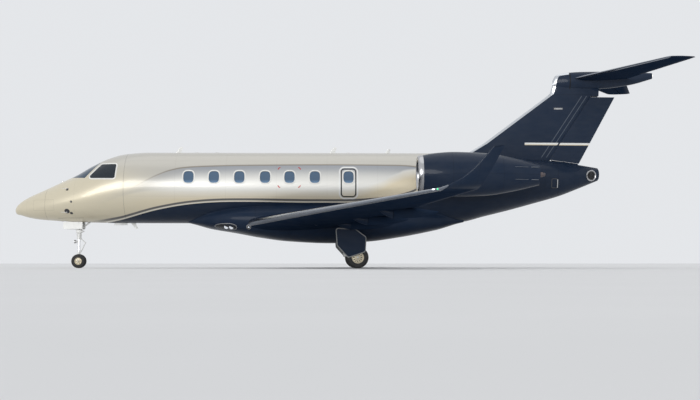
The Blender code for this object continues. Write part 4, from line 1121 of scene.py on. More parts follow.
BODY_PAINT = JetPaint("body_paint", Zone.BODY)
WING_PAINT = JetPaint("wing_paint", Zone.WING, 0.0, 0.35)
FIN_PAINT = JetPaint("fin_paint", Zone.FIN)
STABILISER_PAINT = JetPaint("stabiliser_paint", Zone.STABILISER, 0.0, 0.30)
NACELLE_PAINT = JetPaint("nacelle_paint", Zone.NACELLE, 0.08, 0.25)
NAVY_PAINT = JetPaint("navy_paint", Zone.PLAIN, 0.05, 0.15)
POLISHED = BareMetal("polished_lip", (0.50, 0.50, 0.51), 0.24, 40.0, 0.0)
MACHINED = BareMetal("machined_alloy", (0.62, 0.62, 0.62), 0.30, 90.0)
CHROME = BareMetal("chrome_piston", (0.82, 0.82, 0.84), 0.08, 30.0)
# Dark steel; the tail vents' slots also use it as painted shade
DARK_STEEL_AND_SLOT_SHADE = BareMetal("dark_steel", (0.10, 0.10, 0.105), 0.45, 120.0)
FAN_METAL = BareMetal("fan_titanium", (0.34, 0.34, 0.35), 0.25, 50.0)
HOT_METAL = HotMetal("exhaust_metal")
GEAR_WHITE = Enamel("gear_enamel", WHITE, 0.30, 0.35)
GEAR_GREY = Enamel("bay_grey", (0.26, 0.27, 0.27), 0.5, 0.5)
NOSE_WHEEL_ENAMEL = WheelEnamel("nose_wheel_enamel", 0.0, NOSE_TRACK + NOSE_TYRE_WIDTH * 0.42)
MAIN_WHEEL_ENAMEL = WheelEnamel("main_wheel_enamel", MAIN_Y, MAIN_TRACK + MAIN_TYRE_WIDTH * 0.42)
NACELLE_TRIM = Enamel("nacelle_trim", (0.085, 0.10, 0.125), 0.4, 0.2)
TRIM_DARK = Enamel("seal_rubber", (0.012, 0.013, 0.015), 0.5, 0.1)
TRIM_PALE = Enamel("window_surround", (0.74, 0.73, 0.69), 0.28, 0.08)
LINER = Enamel("cabin_liner", (0.46, 0.43, 0.38), 0.6, 0.05)
PANEL_BLACK = Enamel("instrument_black", (0.015, 0.016, 0.018), 0.45, 0.1)
RUBBER = TyreRubber("tyre_rubber")
# Painted reflection: the cabin glass's mid blue stands for the sky reflected in it
CABIN_GLASS = Glazing("cabin_glass", (0.075, 0.130, 0.205), 0.93)
# Painted reflection and shade: the windshield's dark blue stands for the sky in it and the shaded cockpit
# behind
WINDSHIELD_GLASS = Glazing("windshield_glass", (0.030, 0.060, 0.100), 0.90, 0.10)
# Painted shade: the cockpit windows' near-black, mostly opaque tint stands for the shaded cockpit behind them
COCKPIT_GLASS = Glazing("cockpit_glass", (0.010, 0.018, 0.028), 0.80, 0.10)
SEAT_HIDE = Hide("seat_hide")
FLOOR_CARPET = Carpet("cabin_carpet")


def carved(obj: bpy.types.Object, cutter: Shape, operation: str = "DIFFERENCE") -> bpy.types.Object:
    """Cuts one shape from an object, and leaves the plain result as its mesh.

    Args:
        obj: what is cut.
        cutter: what is taken away from it.
        operation: INTERSECT keeps what lies in the cutter.

    Returns:
        The object.
    """
    tool = cutter.solid("cutter")
    modifier = obj.modifiers.new("carve", "BOOLEAN")
    modifier.operation, modifier.solver, modifier.object = operation, "EXACT", tool
    mesh = bpy.data.meshes.new_from_object(obj.evaluated_get(bpy.context.evaluated_depsgraph_get()))
    obj.modifiers.clear()
    old, obj.data = obj.data, mesh
    bpy.data.meshes.remove(old)
    bpy.data.objects.remove(tool)
    return obj


def relit(obj: bpy.types.Object) -> bpy.types.Object:
    """Gives the two faces of the hull's skin the exact normals of its form, so that cuts leave no mark.

    A corner takes the form's normal, or its opposite, where its face points within 30 degrees of it, and
    otherwise keeps its face's own.

    Args:
        obj: a stretch of skin.

    Returns:
        The object.
    """
    def read(items: bpy.types.bpy_prop_collection, field_name: str, width: int, kind: type) -> Points:
        """A mesh attribute as an array."""
        values = np.empty(len(items) * width, kind)
        items.foreach_get(field_name, values)
        return values.reshape(-1, width) if width > 1 else values

    mesh = obj.data
    totals = read(mesh.polygons, "loop_total", 1, np.int32)
    faces = np.repeat(read(mesh.polygons, "normal", 3, np.float32), totals, axis=0)
    places = read(mesh.vertices, "co", 3, np.float32).astype(float)
    exact = FORM.normal(places)[read(mesh.loops, "vertex_index", 1, np.int32)]
    lean = (exact * faces).sum(axis=1)[:, None]
    turned = np.where(lean > 0.87, exact, np.where(lean < -0.87, -exact, faces))
    mesh.normals_split_custom_set(turned.tolist())
    return obj


def piece(name: str, shape: Shape | bpy.types.Object, finish: Finish, node: str = "", body: str = "",
          angle: float = 38.0, slot: str = "") -> bpy.types.Object:
    """Makes a finished piece that rides on a body.

    Args:
        name: the piece's name.
        shape: gathered surfaces, or an object already made from them.
        finish: what it is finished with.
        node: the CAD node that it stands for, if any; body is this node's unless given.
        body: the body that it moves with, the airframe if neither is given.
        angle: edges sharper than this many degrees stay sharp; nought keeps the shading as it is.
        slot: the record's material slot, where it isn't the node's; it is worked out but not used.

    Returns:
        The piece.
    """
    obj = shape.solid(name) if isinstance(shape, Shape) else shape
    mesh = obj.data
    obj.name = mesh.name = name
    if angle:
        mesh.polygons.foreach_set("use_smooth", np.ones(len(mesh.polygons), bool))
        mesh.set_sharp_from_angle(angle=math.radians(angle))
    mesh.materials.clear()
    mesh.materials.append(finish.material())
    body, slot = body or BODY_OF.get(node, "airframe"), slot or SLOT_OF.get(node)
    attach(obj, body)
    if node:
        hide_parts(node)
    LOG.info("%s: %d faces on %s", name, len(mesh.polygons), body)
    return obj


def dress(node: str, finish: Finish) -> None:
    """Gives a CAD node a finish in place of its plain colour."""
    obj = frame["nodes"][node]
    if not obj.material_slots:
        obj.data.materials.append(finish.material())
    for slot in obj.material_slots:
        slot.material = finish.material()
    LOG.info("%s: dressed with %s", node, finish.name)


class BodyForm:
    """The fuselage as one smooth form: half ellipses over and under its widest point.

    The sections are joined by monotone cubics in the square root of the station, so that the nose is round.
    """

    def section(self, station: Points) -> tuple[Points, Points, Points, Points]:
        """Top, bottom, half width and height of the widest point."""
        root, knots = np.sqrt(np.maximum(np.asarray(station, float), 0.0)), np.sqrt(BODY[:, 0])
        top, bottom, half, widest = (smooth_through(root, knots, BODY[:, i]) for i in range(1, 5))
        return top, bottom, half, widest

    def ring(self, station: Points, angle: Points, lift: float = 0.0) -> Points:
        """Points of the skin at stations and angles from the top, moved out by a lift."""
        top, bottom, half, widest = self.section(station)
        reach = np.where(np.cos(angle) > 0, top - widest, widest - bottom) + lift
        return world(station, (half + lift) * np.sin(angle), widest + reach * np.cos(angle))

    def at_height(self, station: Points, z: Points, side: int, lift: float = 0.0) -> Points:
        """Points of the skin at stations and heights.

        Args:
            station, z: where.
            side: the sign of y.
            lift: how far they are moved out.

        Returns:
            World places.
        """
        top, bottom, _, widest = self.section(station)
        reach = np.where(z > widest, top - widest, widest - bottom)
        return self.ring(station, side * np.arccos(np.clip((z - widest) / reach, -1, 1)), lift)

    def normal(self, places: Points) -> Points:
        """Outward normals: the slope of the form's own level function, by small differences."""
        def level(p: Points) -> Points:
            """1 on the skin, less inside it and more outside."""
            top, bottom, half, widest = self.section(p[:, 0] + ORIGIN_STATION)
            z = p[:, 2] - AXIS_HEIGHT - widest
            reach = np.where(z > 0, top - widest, widest - bottom)
            return np.sqrt((p[:, 1] / np.maximum(half, 1e-4)) ** 2 + (z / np.maximum(reach, 1e-4)) ** 2)

        return unit(np.stack([level(places + d) - level(places - d) for d in np.eye(3) * 0.001], axis=1))


FORM = BodyForm()


class BellyForm:
    """The belly fairing, blended into the hull.

    Along each ray from a point inside both forms, its reach is the smooth maximum
    (a + b + sqrt((a - b)^2 + k^2)) / 2 of the hull's reach and the superelliptic fairing's. The constant k
    falls to nought at both ends, where the form also sinks a few centimetres and slips under the hull's skin.
    """

    squareness = 2.6
    blend = 0.09
    fade = 0.9

    def reach(self, station: Points, angle: Points) -> tuple[Points, Points]:
        """The height of the rays' centre and their reach.

        Args:
            station: where the sections are.
            angle: the rays' angles from the top.

        Returns:
            The centre's height over the cabin axis, and the distance from it to the skin.
        """
        half, bottom, top = (smooth_through(station, FAIRING[:, 0], FAIRING[:, i]) for i in (1, 2, 3))
        centre = top - 0.06
        middle, tall = (top + bottom) / 2, (top - bottom) / 2
        body_top, body_bottom, body_half, widest = FORM.section(station)
        across, up = np.sin(angle), np.cos(angle)

        def far(level: Callable[[Points], Points]) -> Points:
            """Distance along each ray at which a level function passes 1, by halving."""
            shape = np.broadcast(station, angle).shape
            low, high = np.zeros(shape), np.full(shape, 3.0)
            for _ in range(32):
                guess = (low + high) / 2
                inside = level(guess) < 1
                low, high = np.where(inside, guess, low), np.where(inside, high, guess)
            return low

        def hull(r: Points) -> Points:
            """The hull's level function along the rays."""
            z = centre + r * up - widest
            tall = np.where(z > 0, body_top - widest, widest - body_bottom)
            return (r * across / body_half) ** 2 + (z / tall) ** 2

        pod = far(lambda r: np.abs(r * across / half) ** self.squareness
                  + np.abs((centre + r * up - middle) / tall) ** self.squareness)
        tube = np.minimum(far(hull), pod + 0.6)
        ends = np.clip(np.minimum(station - FAIRING[0, 0], FAIRING[-1, 0] - station) / self.fade, 0, 1)
        ends = ends * ends * (3 - 2 * ends)
        round_off = np.sqrt((pod - tube) ** 2 + (self.blend * ends) ** 2)
        out = (pod + tube + round_off) / 2 - 0.016 - 0.03 * (1 - ends)
        return centre, np.where(up > 0.25, np.minimum(out, tube - 0.02), out)

    def ring(self, station: Points, angle: Points, lift: float = 0.0) -> Points:
        """Points of the fairing at stations and angles from the top, moved out by a lift."""
        centre, out = self.reach(station, angle)
        return world(station, (out + lift) * np.sin(angle), centre + (out + lift) * np.cos(angle))


BELLY = BellyForm()


def exhaust_mouth() -> tuple[Points, Points]:
    """The middle of the side exhaust on the tail cone's skin, and the way that it faces."""
    mouth = FORM.at_height(np.array(18.40), np.array(0.40), Side.LEFT.value)
    return mouth, FORM.normal(mouth[None])[0]


def stations_between(start: float, end: float, step: float) -> Points:
    """Stations evenly from start to end, no further apart than the step."""
    return np.linspace(start, end, max(3, int(math.ceil((end - start) / step)) + 1))


@dataclass
class Fuselage:
    """The pressure hull's skins, nose and tail cones, belly fairing, exit, door and glazing."""

    wall: float = 0.060
    aft_wall: float = 0.045
    sides: int = 120
    corner: float = 0.06

    def skin(self, start: float, end: float, inside: float, outside: float = 0.0,
             step: float = 0.10) -> bpy.types.Object:
        """A stretch of skin, open at both ends: an outer and an inner form joined at its rims.

        Args:
            start, end: its stations.
            inside, outside: the lifts of its two faces.
            step: how far apart its sections are.

        Returns:
            The object.
        """
        stations, angle = stations_between(start, end, step)[:, None], circle(self.sides)[None, :]
        grid = np.concatenate([FORM.ring(stations, angle, outside), FORM.ring(stations[::-1], angle, inside)])
        return Shape().loop(grid).solid("skin")

    def patch(self, span: Profile, outside: float, inside: float, keep: Shape,
              cuts: Sequence[Shape] = ()) -> bpy.types.Object:
        """A piece of skin, kept where one cutter is and cleared where others are.

        Args:
            span: a stretch of stations that holds it.
            outside, inside: the lifts of its two faces.
            keep, cuts: the cutters.

        Returns:
            The object.
        """
        obj = carved(self.skin(*span, inside, outside, 0.04), keep, "INTERSECT")
        for cut in cuts:
            carved(obj, cut)
        return relit(obj)

    def build(self) -> None:
        """All the fuselage's pieces."""
        self.nose_and_tail()
        self.hull()
        self.cockpit_glass()
        self.cabin_windows()
        self.exit_and_door()
        self.fairing()
        self.landing_lamps()

    def nose_and_tail(self) -> None:
        """The radome, and the tail cone with the side exhaust cut out."""
        stations = np.linspace(0, math.sqrt(RADOME_END - SEAM), 40)[:, None] ** 2
        radome = Shape().loft(FORM.ring(stations, circle(self.sides)[None, :]))
        piece("radome_skin", radome, BODY_PAINT, "radome")
        stations = stations_between(AFT_END + SEAM, BODY_END, 0.06)
        rings = FORM.ring(stations[:, None], circle(self.sides)[None, :])
        middle, last = rings[-1].mean(axis=0), rings[-1]
        cap = [middle + (last - middle) * share + np.array([bulge, 0, 0])
               for share, bulge in ((0.80, 0.030), (0.5, 0.045), (0.2, 0.050))]
        mouth, way = exhaust_mouth()
        hole = Shape().rod(mouth + way * 0.15, mouth - way * 0.30, 0.138, sides=64, edge=0.0)
        tail = Shape().loft(np.concatenate([rings, cap])).solid("tail")
        piece("tail_cone_skin", carved(tail, hole), BODY_PAINT, "tail_cone", slot="navy_painted_metal")

    def hull(self) -> None:
        """The three barrels of the hull with their windows, exit, door and gear well cut."""
        forward = self.skin(RADOME_END, FORWARD_END - SEAM, -self.wall)
        well = np.array([1.50, 2.95, 2.95, 1.50]), np.array([-0.19, -0.19, 0.19, 0.19])
        carved(forward, Shape().loft(np.stack([world(*well, z) for z in (-1.4, -0.8)])))
        for side in Side:
            near, middle, far = (side.value * y for y in (0.035, 0.5, OUTSIDE))
            carved(forward, Shape().prism(WINDSHIELD, near, far))
            carved(forward, Shape().prism(round_corners(COCKPIT_WINDOW, self.corner), middle, far))
        piece("forward_skin", relit(forward), BODY_PAINT, "fuselage_forward", angle=0)
        cabin = self.skin(FORWARD_END, CABIN_END - SEAM, -self.wall)
        holes = Shape()
        for station in WINDOW_STATIONS:
            near = 0.0 if station == WINDOW_STATIONS[-1] else -OUTSIDE
            holes.prism(self.window_outline(station), near, OUTSIDE)
        holes.prism(self.panel_outline(EXIT, 0.0015), -OUTSIDE, -0.5)
        holes.prism(self.panel_outline(DOOR, 0.006), 0.5, OUTSIDE)
        piece("cabin_skin", relit(carved(cabin, holes)), BODY_PAINT, "fuselage_cabin", angle=0)
        aft = self.skin(CABIN_END, AFT_END - SEAM, -self.aft_wall)
        piece("aft_skin", relit(aft), BODY_PAINT, "fuselage_aft", angle=0)

    @staticmethod
    def window_outline(station: float, gap: float = 0.0) -> Points:
        """A cabin window's outline at its station, grown by a gap."""
        wide, tall = WINDOW_SIZE
        return oval(wide / 2 + gap, tall / 2 + gap, 3.0, 48) + np.array([station, WINDOW_Z])

    @staticmethod
    def panel_outline(limits: Profile, gap: float) -> Points:
        """The outline of a door or exit, grown by a gap, with rounded corners."""
        x0, x1, z0, z1 = np.asarray(limits) + np.array([-gap, gap, -gap, gap])
        return round_corners(((x0, z0), (x1, z0), (x1, z1), (x0, z1)), 0.10)

    @staticmethod
    def trim(shape: Shape, outline: Points, side: Side, section: Profile) -> None:
        """A strip round a window: a section of (distance out from it, lift) carried along its outline."""
        rings = [FORM.at_height(*grown(outline, out).T, side.value, lift) for out, lift in section]
        shape.loop(np.stack(rings))

    def cockpit_glass(self) -> None:
        """The windshields with their seals, and the side windows with their seals and pale surrounds."""
        for side in Side:
            sign, name, far = side.value, side.label, side.value * OUTSIDE
            outline, near = np.asarray(WINDSHIELD), sign * 0.0353
            pane = self.patch((1.5, 3.0), -0.004, -0.020, Shape().prism(grown(outline, -0.0006), near, far))
            piece(f"windshield_pane_{name}", pane, WINDSHIELD_GLASS, f"windshield_{name}", angle=0)
            inner = Shape().prism(grown(outline, -0.012), near + sign * 0.012, far * 1.1)
            seal = self.patch((1.5, 3.0), 0.0015, -0.003, Shape().prism(outline, near, far), [inner])
            piece(f"windshield_seal_{name}", seal, TRIM_DARK, angle=0)
            outline = round_corners(COCKPIT_WINDOW, self.corner)
            hole = Shape().prism(grown(outline, -0.0006), sign * 0.5, far)
            pane = self.patch((2.3, 3.6), -0.004, -0.020, hole)
            piece(f"cockpit_window_pane_{name}", pane, COCKPIT_GLASS, f"cockpit_window_{name}", angle=0)
            for label, section, finish in (("seal", SEAL_SECTION, TRIM_DARK),
                                           ("surround", SURROUND_SECTION, TRIM_PALE)):
                shape = Shape()
                self.trim(shape, evenly(outline, 120), side, section)
                piece(f"cockpit_window_{label}_{name}", shape, finish)

    def cabin_windows(self) -> None:
        """Panes, seals and pale surrounds of the cabin windows, worked out on the skin itself."""
        panes, seals, rims = Shape(), Shape(), Shape()
        rows = ((0.0, -0.024), (0.5, -0.024), (0.985, -0.024), (1.0, -0.021), (1.0, -0.013), (0.985, -0.010),
                (0.5, -0.010), (0.0, -0.010))
        for side in Side:
            for station in WINDOW_STATIONS:
                middle = np.array([station, WINDOW_Z])
                outline = self.window_outline(station, -0.0006) - middle
                panes.loft(np.stack([
                    FORM.at_height(*(middle + outline * share).T, side.value, lift) for share, lift in rows
                ]))
                self.trim(seals, self.window_outline(station), side, SEAL_SECTION)
                self.trim(rims, self.window_outline(station), side, SURROUND_SECTION)
        piece("cabin_window_panes", panes, CABIN_GLASS, slot="glass_glass")
        piece("cabin_window_seals", seals, TRIM_DARK)
        piece("cabin_window_surrounds", rims, TRIM_PALE)

    def exit_and_door(self) -> None:
        """The overwing exit with its window cut, and the entry door with its steps and rails."""
        hole = Shape().prism(self.window_outline(WINDOW_STATIONS[-1]), -1.6, 0.0)
        panel = Shape().prism(self.panel_outline(EXIT, -0.0015), -OUTSIDE, -0.5)
        piece("overwing_exit_skin", self.patch((10.2, 11.0), 0.0, -self.wall, panel, [hole]), BODY_PAINT,
              "overwing_exit", angle=0)
        panel = Shape().prism(self.panel_outline(DOOR, 0.0), 0.5, OUTSIDE)
        door = self.patch((3.8, 4.9), 0.0, -self.wall, panel)
        piece("entry_door_skin", door, BODY_PAINT, "entry_door", angle=0)
        steps, rails = Shape(), Shape()
        front, rear, foot, top = DOOR
        plank = ((-0.125, -0.014), (0.125, -0.014), (0.125, 0.014), (-0.125, 0.014))
        across, up = round_corners(plank, 0.010, 3).T
        turn = math.sqrt(0.5)
        for z in np.linspace(foot, top, 6)[1:-1]:
            y = math.sqrt(1.13 ** 2 - z ** 2) - 0.145
            steps.loft(np.stack([
                world(x, y + (across + up) * turn, z + (up - across) * turn)
                for x in (front + 0.06, rear - 0.06)
            ]))
        t = np.linspace(0, 1, 18)
        z = -0.42 + 1.06 * t
        y = np.sqrt(1.07 ** 2 - z ** 2) - 0.02 - 0.07 * np.sin(math.pi * t) ** 0.5
        for x in (front + 0.05, rear - 0.05):
            rails.pipe(world(x, y, z), 0.011, 16)
        piece("entry_door_steps", steps, MACHINED, body="entry_door_panel")
        piece("entry_door_rails", rails, CHROME, body="entry_door_panel")

    @staticmethod
    def fairing() -> None:
        """The belly fairing."""
        stations = stations_between(FAIRING[0, 0], FAIRING[-1, 0], 0.06)[:, None]
        piece("belly_fairing_skin", Shape().loft(BELLY.ring(stations, circle(180)[None, :])), NAVY_PAINT,
              "belly_fairing")

    @staticmethod
    def landing_lamps() -> None:
        """In each shoulder of the fairing, two landing lamps behind a long lens and one behind a round one."""
        rims, lenses, lamps = Shape(), Shape(), Shape()
        for side in Side:
            for middle, angle, half_long, half_tall, power, bulbs in (
                (6.77, 2.13, 0.34, 0.13, 2.6, (0.02, 0.18)), (7.50, 2.10, 0.055, 0.055, 2.0, (0.0,)),
            ):
                flat = oval(half_long, half_tall, power, 72)

                def on_skin(u: Points, v: Points, lift: float) -> Points:
                    """A place this far along the skin and down round it from the lens's middle."""
                    turn = angle + np.asarray(v) / 1.05
                    return BELLY.ring(middle + np.asarray(u), side.value * turn, lift)

                def strip(rows: Profile) -> Points:
                    """Rings round the lens, each a share of its outline, a distance out from it, and a lift."""
                    return np.stack([on_skin(*grown(flat * share, out).T, lift) for share, out, lift in rows])

                rims.loop(strip(((1, 0.0, -0.01), (1, 0.0, 0.004), (1, 0.010, 0.006), (1, 0.020, 0.003),
                                 (1, 0.020, -0.01))))
                lenses.loft(strip(((0.001, 0, -0.008), (0.5, 0, -0.008), (1, -0.001, -0.006),
                                   (1, -0.001, 0.001),
                                   (0.5, 0, 0.003), (0.001, 0, 0.003))))
                for shift in bulbs:
                    foot, top = on_skin(shift, 0.0, -0.02), on_skin(shift, 0.0, 0.010)
                    lamps.rod(foot, top, half_tall * 0.55, sides=32)
        piece("landing_lamp_rims", rims, POLISHED)
        piece("landing_lamp_lenses", lenses, Glazing("lamp_cover", (0.010, 0.012, 0.016), 0.96, -2.0))
        piece("landing_lamps", lamps, LampLens("landing_lens", (0.80, 0.84, 0.90), 0.15))


def half_thickness(x: Points) -> Points:
    """5 (0.2969 sqrt x - 0.126 x - 0.3516 x^2 + 0.2843 x^3 - 0.1015 x^4), for unit chord and thickness."""
    return 5 * (0.2969 * np.sqrt(x) - 0.126 * x - 0.3516 * x**2 + 0.2843 * x**3 - 0.1015 * x**4)


def airfoil(count: int = 33) -> tuple[Points, Points]:
    """A closed symmetric section: x, and the height over the chord line, over and back under."""
    x = (1 - np.cos(np.linspace(0, math.pi, count))) / 2
    return np.concatenate([x, x[:0:-1]]), np.concatenate([half_thickness(x), -half_thickness(x)[:0:-1]])


def columns(table: Points, span: Points | float) -> list[Points]:
    """All of a wing table's columns after the first, at half spans, straight between its sections."""
    return [np.interp(span, table[:, 0], column) for column in table.T[1:]]


def foil_rings(span: Points, edge: Points, chord: Points, height: Points, thickness: Points, side: int,
               cant: Points | float = 0.0) -> Points:
    """Sections of a wing.

    Args:
        span, edge, chord, height, thickness: of each section, as in the wing's table.
        side: the sign of y.
        cant: how far each leans inboard, in degrees.

    Returns:
        A grid of places, one row for each section.
    """
    x, z = airfoil()
    span, edge, chord, height, thickness, lean = (
        a[:, None] for a in np.broadcast_arrays(span, edge, chord, height, thickness, np.radians(cant)))
    rise = z * thickness * chord
    return world(edge + x * chord, side * (span - rise * np.sin(lean)), height + rise * np.cos(lean))


@dataclass
class ControlSurface:
    """A flap, aileron, elevator or rudder: a half round on its hinge line, drawn out to a thin rear edge."""

    places: Points
    edges: Points
    radius: Points
    normal: Profile = (0.0, 0.0, 1.0)
    edge_half: float = 0.004

    @classmethod
    def on_wing(cls, table: Points, side: int, hinge: Profile, count: int) -> "ControlSurface":
        """A surface in a wing: its trailing edge is found square to the hinge line in plan, by repeating
        reach = (edge - station) / cos.

        Args:
            table: the wing's sections.
            side: the sign of y.
            hinge: (half span, station) of the hinge line's two ends.
            count: how many sections it has.

        Returns:
            The surface.
        """
        (span0, station0), (span1, station1) = hinge
        slope = (station1 - station0) / (span1 - span0)
        cos, sin = 1 / math.hypot(1, slope), slope / math.hypot(1, slope)
        span, station = np.linspace(span0, span1, count), np.linspace(station0, station1, count)
        reach = np.zeros(count)
        for _ in range(30):
            front, chord, *_ = columns(table, span - reach * sin)
            reach = (front + chord - station) / cos
        edge_span = span - reach * sin
        front, chord, height, thickness = columns(table, span)
        half = chord * thickness * half_thickness((station - front) / chord)
        edges = world(station + reach * cos, side * edge_span, columns(table, edge_span)[2])
        return cls(world(station, side * span, height), edges, half - 0.002)

    def shape(self) -> Shape:
        """Its sections lofted."""
        back = unit(self.edges - self.places)
        up = unit(self.normal - back * (back @ self.normal)[:, None])
        t = np.linspace(0, math.pi, 17)[None, :, None]
        arc = up[:, None] * np.cos(t) - back[:, None] * np.sin(t)
        nose = self.places[:, None] + self.radius[:, None, None] * arc
        share = np.linspace(0.0, 1.0, 9)[1:, None]
        top, low = (
            (self.places + way * up * self.radius[:, None])[:, None] * (1 - share)
            + (self.edges + way * up * self.edge_half)[:, None] * share for way in (1, -1))
        return Shape().loft(np.concatenate([top[:, ::-1], nose, low], axis=1))

    def bay(self, gap: float = 0.010, nose_gap: float = 0.008, depth: float = 0.8) -> Shape:
        """The space over and under it, to be cleared out of the fixed wing.

        Args:
            gap: clearance at its ends.
            nose_gap: clearance ahead of its nose.
            depth: how far the space reaches up and down.

        Returns:
            The cutter.
        """
        along, back = unit(self.places[-1] - self.places[0]) * gap, unit(self.edges - self.places)
        front = self.places - back * (self.radius[:, None] + nose_gap)
        rear = self.edges + back * 0.3
        corners = np.array([front[0] - along, front[-1] + along, rear[-1] + along, rear[0] - along])
        return Shape().loft(np.stack([corners + np.array([0, 0, z]) for z in (-depth, depth)]))


@dataclass
class Wings:
    """The wings with their winglets, flaps, ailerons, flap-track fairings and lights."""

    sections: int = 30
    canoe_nose: float = 0.10

    def build(self) -> None:
        """Both wings and what is on them."""
        for side in Side:
            self.wing(side)
            self.winglet(side)
            self.lights(side)

    def wing(self, side: Side) -> None:
        """The fixed wing, its flap and its aileron.

        Args:
            side: which wing.
        """
        sign, name = side.value, side.label
        span = np.linspace(WING[0, 0], WING[-1, 0], self.sections)
        wing = Shape().loft(foil_rings(span, *columns(WING, span), sign)).solid("wing")
        flap = ControlSurface.on_wing(WING, sign, FLAP_HINGE, 8)
        aileron = ControlSurface.on_wing(WING, sign, AILERON_HINGE, 6)
        x = MAIN_AXLE - MAIN_LINK + np.array([-0.2, 0.2, 0.2, -0.2])
        y, height = sign * MAIN_Y + np.array([-0.15, -0.15, 0.15, 0.15]), columns(WING, MAIN_Y)[2]
        recess = Shape().loft(np.stack([world(x, y, z) for z in (height - 0.5, height - 0.05)]))
        for cut in (flap.bay(), aileron.bay(), recess):
            carved(wing, cut)
        piece(f"wing_skin_{name}", wing, WING_PAINT, f"wing_{name}")
        fronts, rears = Shape(), flap.shape()
        for canoe in CANOES:
            self.canoe(fronts, side, *canoe, front=True)
            self.canoe(rears, side, *canoe, front=False)
        pad = world(9.60, sign * 2.60, -1.285)
        fronts.rod(pad, pad + np.array([0, 0, 0.08]), 0.035, sides=32)
        piece(f"flap_skin_{name}", rears, WING_PAINT, f"flap_{name}")
        piece(f"aileron_skin_{name}", aileron.shape(), WING_PAINT, f"aileron_{name}")
        piece(f"flap_track_fronts_{name}", fronts, NAVY_PAINT)

    def canoe(self, shape: Shape, side: Side, half_span: float, start: float, end: float, half_width: float,
              front: bool) -> None:
        """Half of a flap-track fairing: elliptic sections under the wing, deepest at the flap's hinge.

        The width and depth follow sin(pi s)^0.6 along the whole fairing, and the cut between the halves is
        swept as the hinge line is.

        Args:
            shape: what it is added to.
            side: which wing.
            half_span, start, end, half_width: its row of the table.
            front: whether it is the fixed half, or the one that moves with the flap.
        """
        (span0, x0), (span1, x1) = FLAP_HINGE
        slope = (x1 - x0) / (span1 - span0)
        hinge = x0 + (half_span - span0) * slope
        cut = hinge - self.canoe_nose
        stations = np.linspace(start, cut - 0.012, 14) if front else np.linspace(cut, end, 18)
        behind = np.maximum(stations - hinge, 0) / (end - hinge)
        share = np.where(stations < hinge, 0.5 * (stations - start) / (hinge - start), 0.5 + 0.5 * behind)
        swell = np.maximum(np.sin(math.pi * np.clip(share, 0, 1)), 0.0) ** 0.6
        top = columns(WING, half_span)[2] - 0.10 * behind ** 2 - 0.01
        bottom = top + 0.01 - np.maximum(FLAP_DROP * swell, 0.02)
        t = circle(28)[None, :]
        y = (half_width * swell + 0.002)[:, None] * np.sin(t)
        sweep = np.clip(1 - np.abs(stations - cut) / 0.4, 0, 1)[:, None] * slope * y
        z = (top + bottom)[:, None] / 2 + (top - bottom)[:, None] / 2 * np.cos(t)
        shape.loft(world(stations[:, None] + sweep, side.value * (half_span + y), z))

    @staticmethod
    def winglet(side: Side) -> None:
        """The winglet: sections joined by monotone cubics over the length of their leading edge.

        Args:
            side: which wing.
        """
        run = np.concatenate([[0], np.cumsum(np.linalg.norm(np.diff(WINGLET[:, [0, 3]], axis=0), axis=1))])
        at = np.linspace(0, run[-1], 34)
        span, edge, chord, height, thickness, cant = (smooth_through(at, run, column) for column in WINGLET.T)
        rings = foil_rings(span + SEAM, edge, chord, WING[-1, 3] + height, thickness, side.value, cant)
        tip = rings[-1:] * 0.45 + rings[-1].mean(axis=0) * 0.55 + np.array([0.03, 0, 0.012])
        piece(f"winglet_skin_{side.label}", Shape().loft(np.concatenate([rings, tip])), WING_PAINT,
              f"winglet_{side.label}")

    @staticmethod
    def lights(side: Side) -> None:
        """The position light and the strobe in the wing's tip."""
        colour = (0.02, 0.75, 0.25) if side is Side.LEFT else (0.85, 0.03, 0.02)
        for label, place, profile, sides, lens in (
            ("position_light", (12.60, 9.58),
             [(-0.10, 0.0), (-0.085, 0.016), (-0.04, 0.028), (0.06, 0.030), (0.10, 0.0)],
             24, LampLens(f"position_lens_{side.label}", colour, 1.2)),
            ("strobe", (12.44, 9.46),
             [(-0.045, 0.0), (-0.035, 0.012), (0.0, 0.018), (0.05, 0.018), (0.07, 0.0)],
             20, LampLens("strobe_lens", (0.9, 0.95, 1.0), 1.5)),
        ):
            centre = world(place[0], side.value * place[1], WING[-1, 3])
            piece(f"{label}_{side.label}", Shape().turned(profile, centre, 0, sides), lens)


